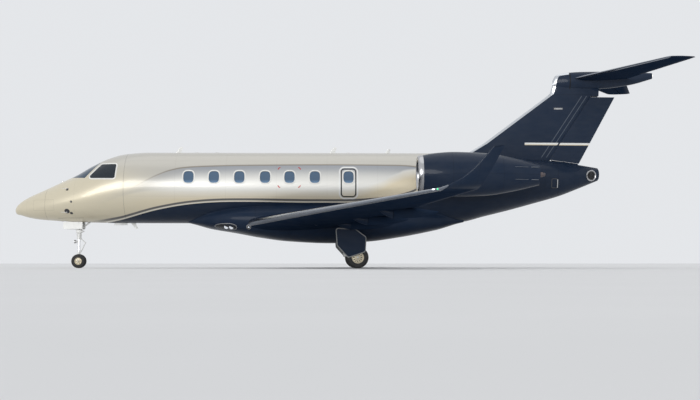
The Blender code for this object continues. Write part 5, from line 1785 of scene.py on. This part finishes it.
@dataclass
class Tail:
    """The fin, rudder, stabiliser with its bullet, and elevators."""

    behind: float = 20.9

    def build(self) -> None:
        """All the tail's pieces."""
        self.fin()
        self.shrouds()
        self.rudder()
        self.stabiliser()
        self.bullet()

    def fin(self) -> None:
        """The fin: long sections cut off square to the rudder's hinge line."""
        height = np.linspace(FIN[0, 0], 3.45, 40)
        edge, rear, thick = columns(np.concatenate([FIN, [(3.60, 17.30, 18.80, 0.17)]]), height)
        chord = (rear + FIN_OVERHANG - edge)[:, None]
        x, y = airfoil()
        fin = Shape().loft(world(edge[:, None] + x * chord, y * thick[:, None], height[:, None])).solid("fin")
        (x0, z0), (x1, z1) = RUDDER_HINGE
        slope, low = (x1 - x0) / (z1 - z0), z0 - 0.6
        fronts = [(x0 - RUDDER_BAY_NOSE + (z - z0) * slope, z) for z in (low, RUDDER_ROOF)]
        carved(fin, Shape().prism((*fronts, (self.behind, RUDDER_ROOF), (self.behind, low)), -0.6, 0.6))
        low, high = RUDDER_ROOF - 0.1, 3.9
        outline = ((18.72, low), (self.behind, low), (self.behind, high), (18.78, high))
        piece("fin_skin", carved(fin, Shape().prism(outline, -0.6, 0.6)), FIN_PAINT, "fin")

    @staticmethod
    def shrouds() -> None:
        """Fixed strips that close the rudder's gaps: thin lips beside its nose, and sills under and over it.

        The lips stay ahead of the hinge line, outside the circle that the nose turns in. The sills are
        narrow, because the rudder's ends tilt as it turns on its leaning hinge, most at their outer edges.
        """
        shape = Shape()
        (x0, z0), (x1, z1) = RUDDER_HINGE
        slope = (x1 - x0) / (z1 - z0)
        ends = ((x0 - 0.06 * slope, z0 - 0.06, RUDDER_NOSES[0]),
                (x1 + 0.03 * slope, z1 + 0.03, RUDDER_NOSES[1]))
        ahead, out = np.array([(-0.095, 0.008), (-0.095, 0.012), (-0.032, 0.010), (-0.032, 0.007)]).T
        for way in (-1, 1):
            shape.loft(np.stack([world(x + ahead, way * (nose + out), z) for x, z, nose in ends]))
        across, deep = np.array([(0.006, 0), (0.005, 1), (-0.005, 1), (-0.006, 0)]).T
        for (x0, z0), (x1, z1), gap, depth, last in (
            (RUDDER_HINGE[0], RUDDER_EDGE[0], -0.013, -0.10, 0.97),
            (RUDDER_HINGE[1], RUDDER_EDGE[1], 0.013, 0.05, 0.28),
        ):
            share = np.linspace(0.035, last, 14)[:, None]
            z = z0 + (z1 - z0) * share + gap * (1 - np.minimum(share, 0.5))
            shape.loft(world(x0 + (x1 - x0) * share, across, z + depth * deep))
        piece("rudder_shrouds", shape, NAVY_PAINT)

    @staticmethod
    def rudder() -> None:
        """The rudder on its leaning hinge, with its pins."""
        share = np.linspace(0, 1, 12)[:, None]
        places, edges = (
            world(low[0], 0, low[1]) * (1 - share) + world(high[0], 0, high[1]) * share
            for low, high in (RUDDER_HINGE, RUDDER_EDGE))
        radius = np.interp(share[:, 0], [0, 1], RUDDER_NOSES)
        shape = ControlSurface(places, edges, radius, (0.0, 1.0, 0.0)).shape()
        along = unit(places[-1] - places[0])
        shape.rod(places[-1] - along * 0.03, places[-1] + along * 0.034, 0.018, sides=20)
        shape.rod(places[0] + along * 0.03, places[0] - along * 0.050, 0.018, sides=20)
        piece("rudder_skin", shape, FIN_PAINT, "rudder")

    @staticmethod
    def stabiliser() -> None:
        """The tailplane in one piece from tip to tip, and the two elevators."""
        span = np.concatenate([np.linspace(0.0, 3.55, 16), [3.60, 3.64, 3.67]])
        half = [foil_rings(span, *columns(STABILISER, span), side.value) for side in Side]
        plane = Shape().loft(np.concatenate([half[0][::-1], half[1][1:]])).solid("plane")
        for side in Side:
            elevator = ControlSurface.on_wing(STABILISER, side.value, ELEVATOR_HINGE, 6)
            carved(plane, elevator.bay())
            piece(f"elevator_skin_{side.label}", elevator.shape(), STABILISER_PAINT, f"elevator_{side.label}")
        piece("stabiliser_skin", plane, STABILISER_PAINT, "stabiliser")

    @staticmethod
    def bullet() -> None:
        """The bullet at the fin's head, elliptic in section, and its light."""
        nose = BULLET[0, 0] + np.linspace(0, 1, 16) ** 2 * 0.2
        station = np.concatenate([nose, np.linspace(17.50, 20.46, 60), [20.49]])
        top, bottom, width = (
            smooth_through(station, BULLET[:, 0], column)[:, None] for column in BULLET.T[1:])
        t = circle(48)[None, :]
        z = (top + bottom) / 2 + (top - bottom) / 2 * np.cos(t)
        piece("tail_bullet", Shape().loft(world(station[:, None], width * np.sin(t), z)), FIN_PAINT)
        profile = [(-0.02, 0.0), (-0.02, 0.062), (0.012, 0.062), (0.030, 0.045), (0.036, 0.0)]
        piece("tail_light", Shape().turned(profile, world(20.485, 0, 3.675), 0, 28),
              LampLens("tail_lens", (1.0, 0.98, 0.9), 0.6))


@dataclass
class Engines:
    """The two engines: nacelles, polished lips, pylons, fans, cores and nozzles."""

    sides: int = 96
    blades: int = 22
    stators: int = 28

    def build(self) -> None:
        """Both engines."""
        for side in Side:
            centre = world(0, side.value * ENGINE_Y, ENGINE_Z)
            self.cowl(side.label, centre)
            self.pylon(side)
            self.fan(side.label, centre)
            self.core(side.label, centre)

    def cowl(self, name: str, centre: Points) -> None:
        """The nacelle and its bright intake lip, as rings turned about the engine's axis.

        The lip is half an ellipse from the outer edge forward and back in to the duct.

        Args:
            name: the engine's side.
            centre: the axis at the nose's station.
        """
        front, rear = NACELLE[0, 0], NACELLE[-1, 0]
        x = np.linspace(front, rear, 50)
        outer, inner = (np.stack([x, smooth_through(x, *table.T)], axis=1) for table in (NACELLE, DUCT))
        piece(f"nacelle_skin_{name}",
              Shape().turned(np.concatenate([outer[::-1], inner]), centre, 0, self.sides, True),
              NACELLE_PAINT, f"nacelle_{name}")
        t = np.linspace(0, math.pi, 25)
        lip = np.stack([front - 0.16 * np.sin(t) ** 0.9,
                        0.5275 + 0.0575 * np.cos(t) + 0.004 * np.sin(t)], axis=1)
        lip = np.concatenate([lip, [(front - SEAM, 0.4705), (front - SEAM, 0.5845)]]) - np.array([SEAM, 0])
        piece(f"intake_lip_skin_{name}", Shape().turned(lip, centre, 0, self.sides, True), POLISHED,
              f"intake_lip_{name}")

    @staticmethod
    def pylon(side: Side) -> None:
        """The pylon, its section held from the hull to the nacelle."""
        rings = foil_rings(np.linspace(0.75, ENGINE_Y - 0.35, 10), 13.25, 2.55, 0.30, 0.24 / 2.55, side.value)
        piece(f"pylon_skin_{side.label}", Shape().loft(rings), NAVY_PAINT, f"pylon_{side.label}",
              slot="navy_painted_metal")

    def fan(self, name: str, centre: Points) -> None:
        """The fan: a pointed spinner and swept blades, each a thin section that turns from hub to tip.

        Args:
            name: the engine's side.
            centre: the axis at the nose's station.
        """
        x = np.linspace(0, 1, 20)
        spinner = np.stack([FAN_FRONT + 0.34 * x,
                            FAN_HUB * np.sqrt(np.maximum(1 - (1 - x) ** 1.9, 0))], axis=1)
        shape = Shape().turned(np.concatenate([spinner, [(FAN_REAR, FAN_HUB), (FAN_REAR, 0.0)]]), centre)
        radius = np.linspace(FAN_HUB - 0.02, FAN_RADIUS, 12)[:, None]
        share = (radius - radius[0]) / (radius[-1] - radius[0])
        pitch, chord = np.radians(22 + 40 * share), 0.15 + 0.05 * np.sin(math.pi * share)
        along, across = np.cos(circle(20)) * 0.5, np.sin(circle(20)) * 0.035
        x = FAN_REAR - 0.12 + 0.03 * np.sin(share * math.pi * 1.2)
        x = x + chord * (along * np.cos(pitch) - across * np.sin(pitch))
        y = chord * (along * np.sin(pitch) + across * np.cos(pitch))
        z = np.sqrt(np.maximum(radius ** 2 - y ** 2, 0))
        for turn in circle(self.blades):
            shape.loft(self.about(turn, x, y, z) + centre)
        piece(f"fan_blades_{name}", shape, FAN_METAL, f"fan_{name}")

    @staticmethod
    def about(turn: float, x: Points, y: Points, z: Points) -> Points:
        """Places turned about the engine's axis."""
        cos, sin = math.cos(turn), math.sin(turn)
        return np.stack(np.broadcast_arrays(x, y * cos - z * sin, y * sin + z * cos), axis=-1)

    def core(self, name: str, centre: Points) -> None:
        """The core cowl with its stators, its struts and the tail cone.

        Args:
            name: the engine's side.
            centre: the axis at the nose's station.
        """
        x = np.linspace(13.82, 16.60, 46)
        cowl = np.stack([x, smooth_through(x, *CORE[1:].T)], axis=1)
        shaft = [(FAN_REAR + 0.001, 0.0), (FAN_REAR + 0.001, 0.05), (13.70, 0.05), (13.70, 0.18)]
        shape = Shape().turned(np.concatenate([shaft, cowl, [(16.62, 0.0)]]), centre)
        t, r = circle(12)[None, :], np.array([0.30, 0.497])[:, None]
        for turn in circle(self.stators):
            vane = self.about(turn, 13.95 + 0.09 * np.cos(t), 0.006 * np.sin(t) + 0.02 * np.cos(t), r)
            shape.loft(vane + centre)
        t, r = circle(20)[None, :], np.array([0.25, 0.4975])[:, None]
        for turn in np.radians((0.0, 112.5, -112.5)):
            shape.loft(self.about(turn, 14.55 + 0.35 * np.cos(t), 0.018 * np.sin(t), r) + centre)
        piece(f"engine_core_{name}", shape, HOT_METAL, f"engine_{name}")


@dataclass
class WheelPair:
    """Twin wheels on one axle: tyres, rims with oval holes, hub caps and bolts."""

    centre: Points
    track: float
    radius: float
    width: float
    rim: float
    holes: int
    axle: float
    bolt_count: int

    def build(self, rims: str, bolts: str, tread: str, tyre: str, finish: Finish) -> None:
        """All of the pair's pieces.

        Args:
            rims, bolts: the pieces' names.
            tread, tyre: the starts of the names of the tyres' pieces and nodes.
            finish: the rims' finish.
        """
        rims_node = tyre.replace("tyre", "rims")
        piece(rims, self.rims(), finish, rims_node)
        for way, label in ((-1, "left"), (1, "right")):
            piece(f"{tread}_{label}", self.tyre(way), RUBBER, f"{tyre}_{label}")
        piece(bolts, self.bolts(), MACHINED, body=BODY_OF[rims_node])

    def tyre(self, way: int) -> Shape:
        """An aircraft tyre with four grooves round its crown.

        Its wall runs along (cos t)^0.55 across and (sin t)^0.45 out, and gives way to the crown's grooves
        between the shoulders.

        Args:
            way: the sign of its side.

        Returns:
            The tyre.
        """
        foot, shoulder, t = self.rim + 0.012, 0.62, np.linspace(0, math.pi, 26)
        across = np.sign(np.cos(t)) * np.abs(np.cos(t)) ** 0.55
        wall = np.stack([across, foot + (self.radius - foot) * np.sin(t) ** 0.45], axis=1)
        at, shift = np.array([0.45, 0.15, -0.15, -0.45])[:, None], np.array([0.05, 0.03, -0.03, -0.05])
        groove = np.array([0.0, 0.007, 0.007, 0.0])
        crown = np.stack([at + shift, self.radius - 0.004 * at**2 - groove], axis=-1)
        bead = np.array([[0.78, self.rim + SEAM]])
        profile = np.concatenate([bead, wall[across > shoulder], crown.reshape(-1, 2),
                                  wall[across < -shoulder],
                                  bead * (-1, 1)])
        profile[:, 0] = profile[:, 0] * self.width / 2 + way * self.track
        return Shape().turned(profile, self.centre, 1, 72, True)

    def rims(self) -> bpy.types.Object:
        """Both rims on their axle, turned as one body, with a ring of oval holes through each web."""
        half, rim = self.width * 0.42, self.rim
        out, inside = self.track + half, self.track - half
        # Distance from the outer face or from the inner one, share of the rim's radius
        outer_rows = ((0.004, 0.0), (0.004, 0.20), (-0.004, 0.27), (-0.010, 0.36), (-0.030, 0.42),
                      (-0.034, 0.78),
                      (-0.012, 0.86), (-0.004, 0.94), (0.0, 1.0))
        inner_rows = ((0.0, 1.0), (0.004, 0.92), (0.02, 0.80), (0.03, 0.42), (0.0, 0.30),
                      (0.0, self.axle / rim))
        profile = np.array([(out + x, rim * r) for x, r in outer_rows]
                           + [(inside + x, rim * r) for x, r in inner_rows])
        profile = np.concatenate([profile, profile[::-1] * np.array([-1, 1])])
        cutter = Shape()
        u, v = oval(rim * 0.075, rim * 0.150, 2.4, 20).T
        for turn in circle(self.holes):
            x = (v + rim * 0.62) * math.cos(turn) - u * math.sin(turn)
            z = (v + rim * 0.62) * math.sin(turn) + u * math.cos(turn)
            for way in (-1, 1):
                rows = [np.stack([x, np.full_like(x, way * y), z], axis=-1)
                        for y in (inside + 0.034, out + 0.02)]
                cutter.loft(np.stack(rows) + self.centre)
        return carved(Shape().turned(profile, self.centre, 1, 72).solid("rims"), cutter)

    def bolts(self) -> Shape:
        """Hub caps and the bolts round them."""
        shape, out, rim = Shape(), self.track + self.width * 0.42, self.rim
        cap = ((-0.002, 0.0), (-0.002, 0.17), (0.002, 0.17), (0.012, 0.16), (0.018, 0.10), (0.020, 0.0))
        for way in (-1, 1):
            shape.turned([(way * (out + x), rim * r) for x, r in cap], self.centre, 1, 32)
            for turn in circle(self.bolt_count):
                arm = rim * 0.31
                foot = self.centre + np.array([math.cos(turn) * arm, way * out, math.sin(turn) * arm])
                low, high = (foot + np.array([0, way * y, 0]) for y in (-0.02, 0.001))
                shape.rod(low, high, rim * 0.028, sides=8)
        return shape


@dataclass
class NoseGear:
    """The nose leg, its fork, torque link and taxi lamp, twin wheels and doors."""

    axle_z: float = NOSE_TYRE - AXIS_HEIGHT
    collar: float = -1.5503
    lamp_z: float = -1.72

    def build(self) -> None:
        """All the nose gear's pieces."""
        wheels = WheelPair(world(NOSE_AXLE, 0, self.axle_z), NOSE_TRACK, NOSE_TYRE, NOSE_TYRE_WIDTH,
                           NOSE_RIM, 6, 0.022, 6)
        wheels.build("nose_wheel_rims", "nose_wheel_bolts", "nose_tyre_tread", "nose_tyre", NOSE_WHEEL_ENAMEL)
        self.leg()
        self.fork()
        self.lamp()
        self.doors()

    @staticmethod
    def leg() -> None:
        """The fixed cylinder with its trunnion, brace and steering jacks."""
        x = NOSE_AXLE
        leg = Shape().rods(
            ((x, 0, -1.55), (x, 0, -0.66), 0.062, 40), ((x, 0, -1.54), (x, 0, -1.46), 0.078, 40),
            ((x, 0, -1.30), (x, 0, -1.25), 0.074, 40), ((x, -0.17, -0.92), (x, 0.17, -0.92), 0.055, 32),
            ((x, 0, -1.35), (x + 0.75, 0, -0.80), 0.028, 24),
            ((x + 0.03, -0.05, -1.35), (x + 0.03, 0.05, -1.35), 0.035, 24),
            ((x - 0.08, -0.075, -1.39), (x + 0.14, -0.075, -1.39), 0.022, 20),
            ((x - 0.08, 0.075, -1.39), (x + 0.14, 0.075, -1.39), 0.022, 20),
        )
        leg.block((x - 0.085, -0.10, -1.44), (x + 0.085, 0.10, -1.34), 0.02)
        piece("nose_leg_barrel", leg, GEAR_WHITE, "nose_leg_cylinder")

    def fork(self) -> None:
        """The steered piston and fork with the torque link."""
        x, top, axle = NOSE_AXLE, self.collar, self.axle_z
        piston = Shape().rods(((x, 0, axle + 0.24), (x, 0, top - 0.085), 0.0395, 40))
        piece("nose_leg_piston", piston, CHROME, body="nose_gear_steered")
        fork = Shape().rods(
            ((x, 0, axle + 0.26), (x, 0, top), 0.038, 40), ((x, 0, top - 0.09), (x, 0, top), 0.074, 40),
            ((x, 0, axle - 0.05), (x, 0, axle + 0.30), 0.028, 32),
            ((x, 0, axle + 0.22), (x, 0, axle + 0.30), 0.046, 32),
            ((x, -0.028, axle), (x, 0.028, axle), 0.040, 32),
            ((x + 0.20, -0.03, top - 0.20), (x + 0.20, 0.03, top - 0.20), 0.018, 20),
            ((x + 0.03, -0.045, top - 0.06), (x + 0.03, 0.045, top - 0.06), 0.018, 20),
            ((x - 0.10, 0, self.lamp_z), (x - 0.03, 0, self.lamp_z), 0.022, 20),
        )
        for y in (-0.022, 0.022):
            for z in (top - 0.06, axle + 0.24):
                fork.rods(((x + 0.03, y * 1.3, z), (x + 0.20, y * 0.6, top - 0.20), 0.013, 16))
        piece("nose_leg_fork_arms", fork, GEAR_WHITE, "nose_leg_fork")

    def lamp(self) -> None:
        """The taxi lamp on the fork."""
        for name, rows, finish in (
            ("shell", ((-0.155, 0.050), (-0.150, 0.056), (-0.13, 0.057), (-0.085, 0.048), (-0.075, 0.0),
                       (-0.14, 0.0)),
             MACHINED),
            ("lens", ((-0.165, 0.0), (-0.162, 0.030), (-0.150, 0.051), (-0.138, 0.0)),
             LampLens("lamp_lens", (0.95, 0.96, 1.0), 0.5)),
        ):
            shape = Shape().turned(rows, world(NOSE_AXLE, 0, self.lamp_z), 0, 40)
            piece(f"taxi_lamp_{name}", shape, finish, body="nose_gear_steered")

    @staticmethod
    def doors() -> None:
        """The two doors beside the leg, each with its hinge arm."""
        outline = round_corners(NOSE_DOOR, 0.03)
        for side in Side:
            inner, low, mid, high = (side.value * y for y in (0.150, 0.189, 0.200, 0.222))
            door = Shape().slab(outline, mid, high, place=upright)
            door.block((1.72, inner, -1.17), (2.02, side.value * 0.205, -1.135))
            door.block((1.72, inner, -1.16), (2.02, low, -1.05))
            piece(f"nose_door_panel_{side.label}", door, GEAR_WHITE, f"nose_gear_door_{side.label}")


@dataclass
class MainGear:
    """The main legs with trailing links, shock struts, brake hoses, twin wheels and leg doors."""

    axle_z: float = MAIN_TYRE - AXIS_HEIGHT
    knee_x: float = MAIN_AXLE - MAIN_LINK

    def build(self) -> None:
        """Both main legs."""
        for side in Side:
            name, y = side.label, side.value * MAIN_Y
            wheels = WheelPair(world(MAIN_AXLE, y, self.axle_z), MAIN_TRACK, MAIN_TYRE,
                               MAIN_TYRE_WIDTH, MAIN_RIM, 12,
                               0.036, 10)
            wheels.build(f"main_wheel_rims_{name}", f"main_wheel_bolts_{name}", f"main_{name}_tread",
                         f"main_{name}_tyre", MAIN_WHEEL_ENAMEL)
            self.leg(name, y)
            self.door(side)

    def leg(self, name: str, y: float) -> None:
        """The leg, its trailing link with the axle boss, the shock strut with its bright rod, and the hoses.

        Args:
            name: its side.
            y: where it stands.
        """
        x, axle, knee, roof = self.knee_x, self.axle_z, self.axle_z + 0.10, columns(WING, MAIN_Y)[2] - 0.0503
        leg = Shape().rods(
            ((x, y, knee), (x, y, roof), 0.054, 40), ((x, y, roof - 0.14), (x, y, roof - 0.02), 0.075, 40),
            ((x, y - 0.055, knee), (x, y + 0.055, knee), 0.070, 40),
            ((MAIN_AXLE, y - 0.055, axle), (MAIN_AXLE, y + 0.055, axle), 0.065, 40),
        )
        t = np.linspace(0, 1, 12)
        path = world(x + MAIN_LINK * t, y, knee + (axle - knee) * t)
        leg.pipe(path, np.interp(t, [0, 0.5, 1], [0.055, 0.042, 0.052]), 32)
        low, high = world(MAIN_AXLE - 0.08, y, axle + 0.03), world(x + 0.03, y, knee + 0.62)
        at = low + (high - low) * np.array([0.40, 0.45, 0.48])[:, None]
        leg.rod(at[1], high, 0.040, sides=32).rod(at[0], at[2], 0.046, sides=32)
        piece(f"main_leg_post_{name}", leg, GEAR_WHITE, f"main_leg_{name}")
        piece(f"main_shock_rod_{name}", Shape().rod(low, at[1], 0.026, sides=32), CHROME)
        hoses, t = Shape(), np.linspace(0, 1, 24)
        for shift in (-0.018, 0.018):
            path = world(x - 0.062 + 0.02 * np.sin(6 * t), y + shift, roof - 0.15 - (roof - knee - 0.22) * t)
            hoses.pipe(path, 0.007, 12)
        piece(f"brake_hoses_{name}", hoses, TRIM_DARK)

    def door(self, side: Side) -> None:
        """The leg door: navy outside, with grey ribs and arms inside.

        Args:
            side: which leg.
        """
        def out(distance: float) -> float:
            """A y this far outboard of the leg."""
            return side.value * (MAIN_Y + distance)

        outline = round_corners(MAIN_DOOR, 0.05)
        panel = Shape().slab(outline, out(0.262), out(0.285), place=upright)
        piece(f"main_door_panel_{side.label}", panel, NAVY_PAINT, f"main_gear_door_{side.label}")
        ribs = Shape().slab(grown(outline, -0.03), out(0.250), out(0.262), 0.003, upright)
        for z in (-1.45, -1.85):
            ribs.rods(((self.knee_x, out(0.0555), z), (self.knee_x, out(0.26), z), 0.020, 20))
        for z, front, rear in ((-1.52, 10.29, 10.95), (-1.70, 10.30, 11.04), (-1.88, 10.33, 11.03),
                               (-2.06, 10.50, 10.98)):
            ribs.block((front, out(0.235), z - 0.012), (rear, out(0.255), z + 0.012), 0.004)
        piece(f"main_door_ribs_{side.label}", ribs, GEAR_GREY)


@dataclass
class Cabin:
    """What shows through the glass: seats, floor, bulkhead and instrument panel."""

    seat_stations: tuple[float, ...] = (5.75, 7.15, 8.55, 9.95)
    base: float = -0.60
    lean: float = math.radians(14)

    def build(self) -> None:
        """The seats, the screens, and finishes for the rest."""
        pair = Shape()
        for side in Side:
            row = Shape()
            for station in self.seat_stations:
                self.seat(row, station, side.value * 0.56, 0.24)
            name = f"cabin_seat_row_{side.label}"
            piece(name, row, SEAT_HIDE, f"cabin_seats_{side.label}")
            self.seat(pair, 3.08, side.value * 0.40, 0.21)
        piece("cockpit_seat_pair", pair, SEAT_HIDE, "cockpit_seats")
        for node, finish in (("cabin_floor", FLOOR_CARPET), ("aft_bulkhead", LINER),
                             ("instrument_panel", PANEL_BLACK),
                             ("avionics_block", GEAR_GREY)):
            dress(node, finish)
        screens = Shape()
        for y in (-0.36, -0.12, 0.12, 0.36):
            screens.block((2.315, y - 0.10, -0.10), (2.335, y + 0.10, 0.03), 0.004)
        piece("cockpit_screens", screens, Glazing("screen_glass", (0.02, 0.04, 0.06), 0.95))

    def seat(self, shape: Shape, x: float, y: float, half: float) -> None:
        """One seat: plinth, cushion, leaned back, head pad and arm pads.

        Args:
            shape: what it is added to.
            x, y: its station and place across.
            half: half its width.
        """
        z = self.base
        shape.block((x - 0.20, y - half * 0.6, z + 0.001), (x + 0.20, y + half * 0.6, z + 0.22), 0.02)
        shape.cushion((x - 0.02, y, z + 0.33), (0.27, half, 0.11))
        shape.cushion((x + 0.32, y, z + 0.68), (0.085, half * 0.96, 0.36), self.lean)
        shape.cushion((x + 0.41, y, z + 1.02), (0.06, half * 0.6, 0.10), self.lean)
        for way in (-1, 1):
            shape.cushion((x + 0.02, y + way * half * 0.98, z + 0.50), (0.22, 0.035, 0.045))


@dataclass
class Fittings:
    """Small things on the skin: antennas, probes, lamps, vents and the side exhaust's ring."""

    tube: float = BODY[10, 1]

    def build(self) -> None:
        """All the fittings."""
        self.antennas()
        self.probes()
        self.tail_outlets()
        self.tail_vents()
        self.strakes()

    def blade(self, shape: Shape, station: float, root: float, tip: float, sweep: float,
              height: float) -> None:
        """A swept blade antenna on the cabin tube, or hung under it where its height is negative.

        Args:
            shape: what it is added to.
            station, root, tip, sweep, height: its row of the table.
        """
        way, at = math.copysign(1, height), np.linspace(0, 1, 8)[:, None]
        x, thick = airfoil(13)
        chord = root + (tip - root) * at
        z = way * (self.tube - 0.01) + (height + way * 0.01) * at
        shape.loft(world(station + sweep * at + x * chord, thick * 0.12 * chord, z))
        shape.slab(oval(root * 0.75, 0.05, 2.5, 32) + np.array([station + root * 0.5, 0.0]),
                   way * (self.tube - 0.03), way * (self.tube + 0.006), 0.002)

    def antennas(self) -> None:
        """White blades and low pads over and under the hull."""
        shape = Shape()
        for row in (*BLADES, (4.45, 0.10, 0.06, 0.04, -0.05)):
            self.blade(shape, *row)
        for station in (5.75, 6.4, 10.6):
            shape.slab(oval(0.055, 0.035, 2.5, 32) + np.array([station, 0.0]), 1.10, 1.142)
        shape.block((3.15, -0.06, -1.19), (3.55, 0.06, -1.10), 0.015)
        piece("blade_antennas", shape, GEAR_WHITE)

    @staticmethod
    def probes() -> None:
        """Pitot probes and vanes on the nose, with the dark plates that they stand on."""
        probes, plates = Shape(), Shape()

        def plate(at: Points, size: float, proud: float, sides: int) -> Points:
            """Sets a round plate on the skin and returns the way that it faces."""
            normal = FORM.normal(at[None])[0]
            plates.rod(at - normal * 0.01, at + normal * proud, size, sides=sides)
            return normal

        for side in Side:
            for station, z in ((1.80, -0.10), (1.80, -0.78)):
                foot, tip = (FORM.at_height(np.array(station), np.array(z), side.value, lift)
                             for lift in (-0.01, 0.07))
                probes.rod(foot, tip, 0.014, 0.009, sides=16)
                ahead, behind = tip - np.array([0.16, 0, 0.004]), tip + np.array([0.02, 0, 0])
                probes.rod(behind, ahead, 0.008, 0.005, sides=16)
            vane = FORM.at_height(np.array(1.95), np.array(-0.49), side.value)
            probes.rod(vane, vane + plate(vane, 0.035, 0.004, 28) * 0.06, 0.006, sides=12)
            for station, z, size in ((1.80, -0.10, 0.045), (1.80, -0.78, 0.085), (1.93, -0.84, 0.05)):
                plate(FORM.at_height(np.array(station), np.array(z), side.value), size, 0.0025, 32)
        bump = FORM.ring(np.array([1.40, 1.48, 1.50, 1.58]), np.zeros(4),
                         np.array([-0.01, 0.022, 0.024, -0.01]))
        probes.pipe(bump, (0.010, 0.020, 0.020, 0.010), 20)
        piece("nose_probes", probes, MACHINED)
        piece("probe_plates", plates, DARK_STEEL_AND_SLOT_SHADE)

    @staticmethod
    def tail_outlets() -> None:
        """The side exhaust's bright ring and dark throat, square to the skin."""
        mouth, way = exhaust_mouth()
        ring = ((-0.03, 0.139), (-0.03, 0.160), (0.006, 0.183), (0.020, 0.176), (0.024, 0.160),
                (0.012, 0.140))
        throat = ((0.0, 0.1375), (-0.24, 0.10), (-0.24, 0.0), (-0.26, 0.0), (-0.26, 0.137), (0.0, 0.1379))
        piece("exhaust_ring", Shape().turned(ring, mouth, way, 64, True), POLISHED)
        piece("exhaust_throat", Shape().turned(throat, mouth, way, 64), DARK_STEEL_AND_SLOT_SHADE)

    @staticmethod
    def tail_vents() -> None:
        """The fin's louvre and the air outlet behind each nacelle: dark plates of painted shade for their
        openings, with frames.
        """
        slots, frames = Shape(), Shape()
        section, thick = airfoil(65)
        for side in Side:
            def on_fin(u: Points, v: Points, lift: float) -> Points:
                """A place on the fin's side at a station and a height, moved out by a lift."""
                edge, rear, wide = columns(FIN, v)
                half = np.interp((u - edge) / (rear + FIN_OVERHANG - edge), section[:65], thick[:65]) * wide
                return world(u, side.value * (half + lift), v)

            def on_tail(u: Points, v: Points, lift: float) -> Points:
                """A place on the tail's side at a station and a height, moved out by a lift."""
                return FORM.at_height(u, v, side.value, lift)

            # Painted shade: the slots are dark plates laid on the skin where the openings would be shaded
            slots.slab(oval(0.15, 0.028, 6, 40) + np.array([17.40, 2.58]), -0.02, 0.004, 0.002, on_fin)
            for z in (2.567, 2.593):
                frames.slab(oval(0.14, 0.006, 3, 24) + np.array([17.40, z]), -0.01, 0.010, 0.002, on_fin)
            slots.slab(oval(0.105, 0.15, 5, 48) + np.array([17.16, 0.13]), -0.02, 0.004, 0.002, on_tail)
            frames.slab(oval(0.012, 0.125, 4, 32) + np.array([17.255, 0.13]), -0.01, 0.030, 0.003, on_tail)
        piece("tail_vent_slots", slots, DARK_STEEL_AND_SLOT_SHADE)
        piece("tail_vent_frames", frames, MACHINED)

    @staticmethod
    def strakes() -> None:
        """Pale strakes on the nacelles' outer sides, two long and two short behind them."""
        shape = Shape()
        # First and last station, radius, lifts off the cowl from front to rear
        for start, end, size, lifts in (
            (15.60, 16.02, 0.007, (-0.006, 0.008, 0.012, 0.012, 0.008, -0.006)),
            (16.10, 16.34, 0.014, (-0.02, 0.012, 0.020, 0.018, 0.004)),
        ):
            station = np.linspace(start, end, len(lifts))
            for rise in (0.20, -0.18):
                out = ENGINE_Y + np.sqrt(smooth_through(station, *NACELLE.T) ** 2 - rise ** 2) + lifts
                for side in Side:
                    shape.pipe(world(station, side.value * out, ENGINE_Z + rise), size, 12)
        piece("nacelle_strakes", shape, NACELLE_TRIM)


@dataclass
class Studio:
    """The floor, the soft lights and the camera."""

    azimuth: float = -1.3
    distance: float = 36.0
    eye: float = 0.15
    tilt: float = 3.23
    focal: float = 1122.0
    aim: float = 0.30
    floor_half: float = 900.0

    def build(self) -> None:
        """All of the studio."""
        self.floor()
        self.lights()
        self.camera()

    def floor(self) -> None:
        """A wide, pale floor just under the tyres."""
        half = self.floor_half
        mesh = bpy.data.meshes.new("floor")
        corners = [(-half, -half, 0), (half, -half, 0), (half, half, 0), (-half, half, 0)]
        mesh.from_pydata(corners, [], [(0, 1, 2, 3)])
        mesh.materials.append(StudioFloor("studio_floor").material())
        in_scene(bpy.data.objects.new("floor", mesh))

    def lights(self) -> None:
        """A pale surround, a wide key from over the camera, and a broad light from above."""
        background = bpy.data.worlds.new("studio")
        background.use_nodes = True
        shader = background.node_tree.nodes["Background"]
        shader.inputs["Color"].default_value = (0.95, 0.97, 1.0, 1)
        shader.inputs["Strength"].default_value = 0.82
        bpy.context.scene.world = background
        for name, way, spread, power in (("key", (-0.35, -1.0, 0.14), 30, 1.25),
                                         ("top", (0.1, 0.1, 1.0), 60, 0.38)):
            lamp = bpy.data.lights.new(name, "SUN")
            lamp.angle, lamp.energy = math.radians(spread), power
            obj = in_scene(bpy.data.objects.new(name, lamp))
            obj.location = Vector(way) * 20
            obj.rotation_mode = "QUATERNION"
            obj.rotation_quaternion = (-Vector(way)).to_track_quat("-Z", "Y")

    def camera(self) -> None:
        """A camera at floor level that looks a little up, its focal length in pixels of a 700 wide picture."""
        data = bpy.data.cameras.new("camera")
        camera = in_scene(bpy.data.objects.new("camera", data))
        turn, tilt = math.radians(self.azimuth), math.radians(self.tilt)
        back = Vector((math.sin(turn), -math.cos(turn), 0))
        camera.location = Vector((self.aim, 0, self.eye)) + back * self.distance
        camera.rotation_mode = "QUATERNION"
        view = Vector((0, 0, math.sin(tilt))) - back * math.cos(tilt)
        camera.rotation_quaternion = view.to_track_quat("-Z", "Y")
        data.sensor_width, data.lens, data.clip_end = 36, 36 * self.focal / 700, 2000
        bpy.context.scene.camera = camera
        bpy.context.scene.view_settings.view_transform = "Standard"


def main() -> None:
    """Builds the aircraft's sub-assemblies in order, then the studio."""
    logging.basicConfig(level=logging.INFO, format="%(message)s")
    for part in (Fuselage(), Wings(), Tail(), Engines(), NoseGear(), MainGear(), Cabin(), Fittings(),
                 Studio()):
        LOG.info("building %s", type(part).__name__)
        part.build()


if __name__ == "__main__":
    main()
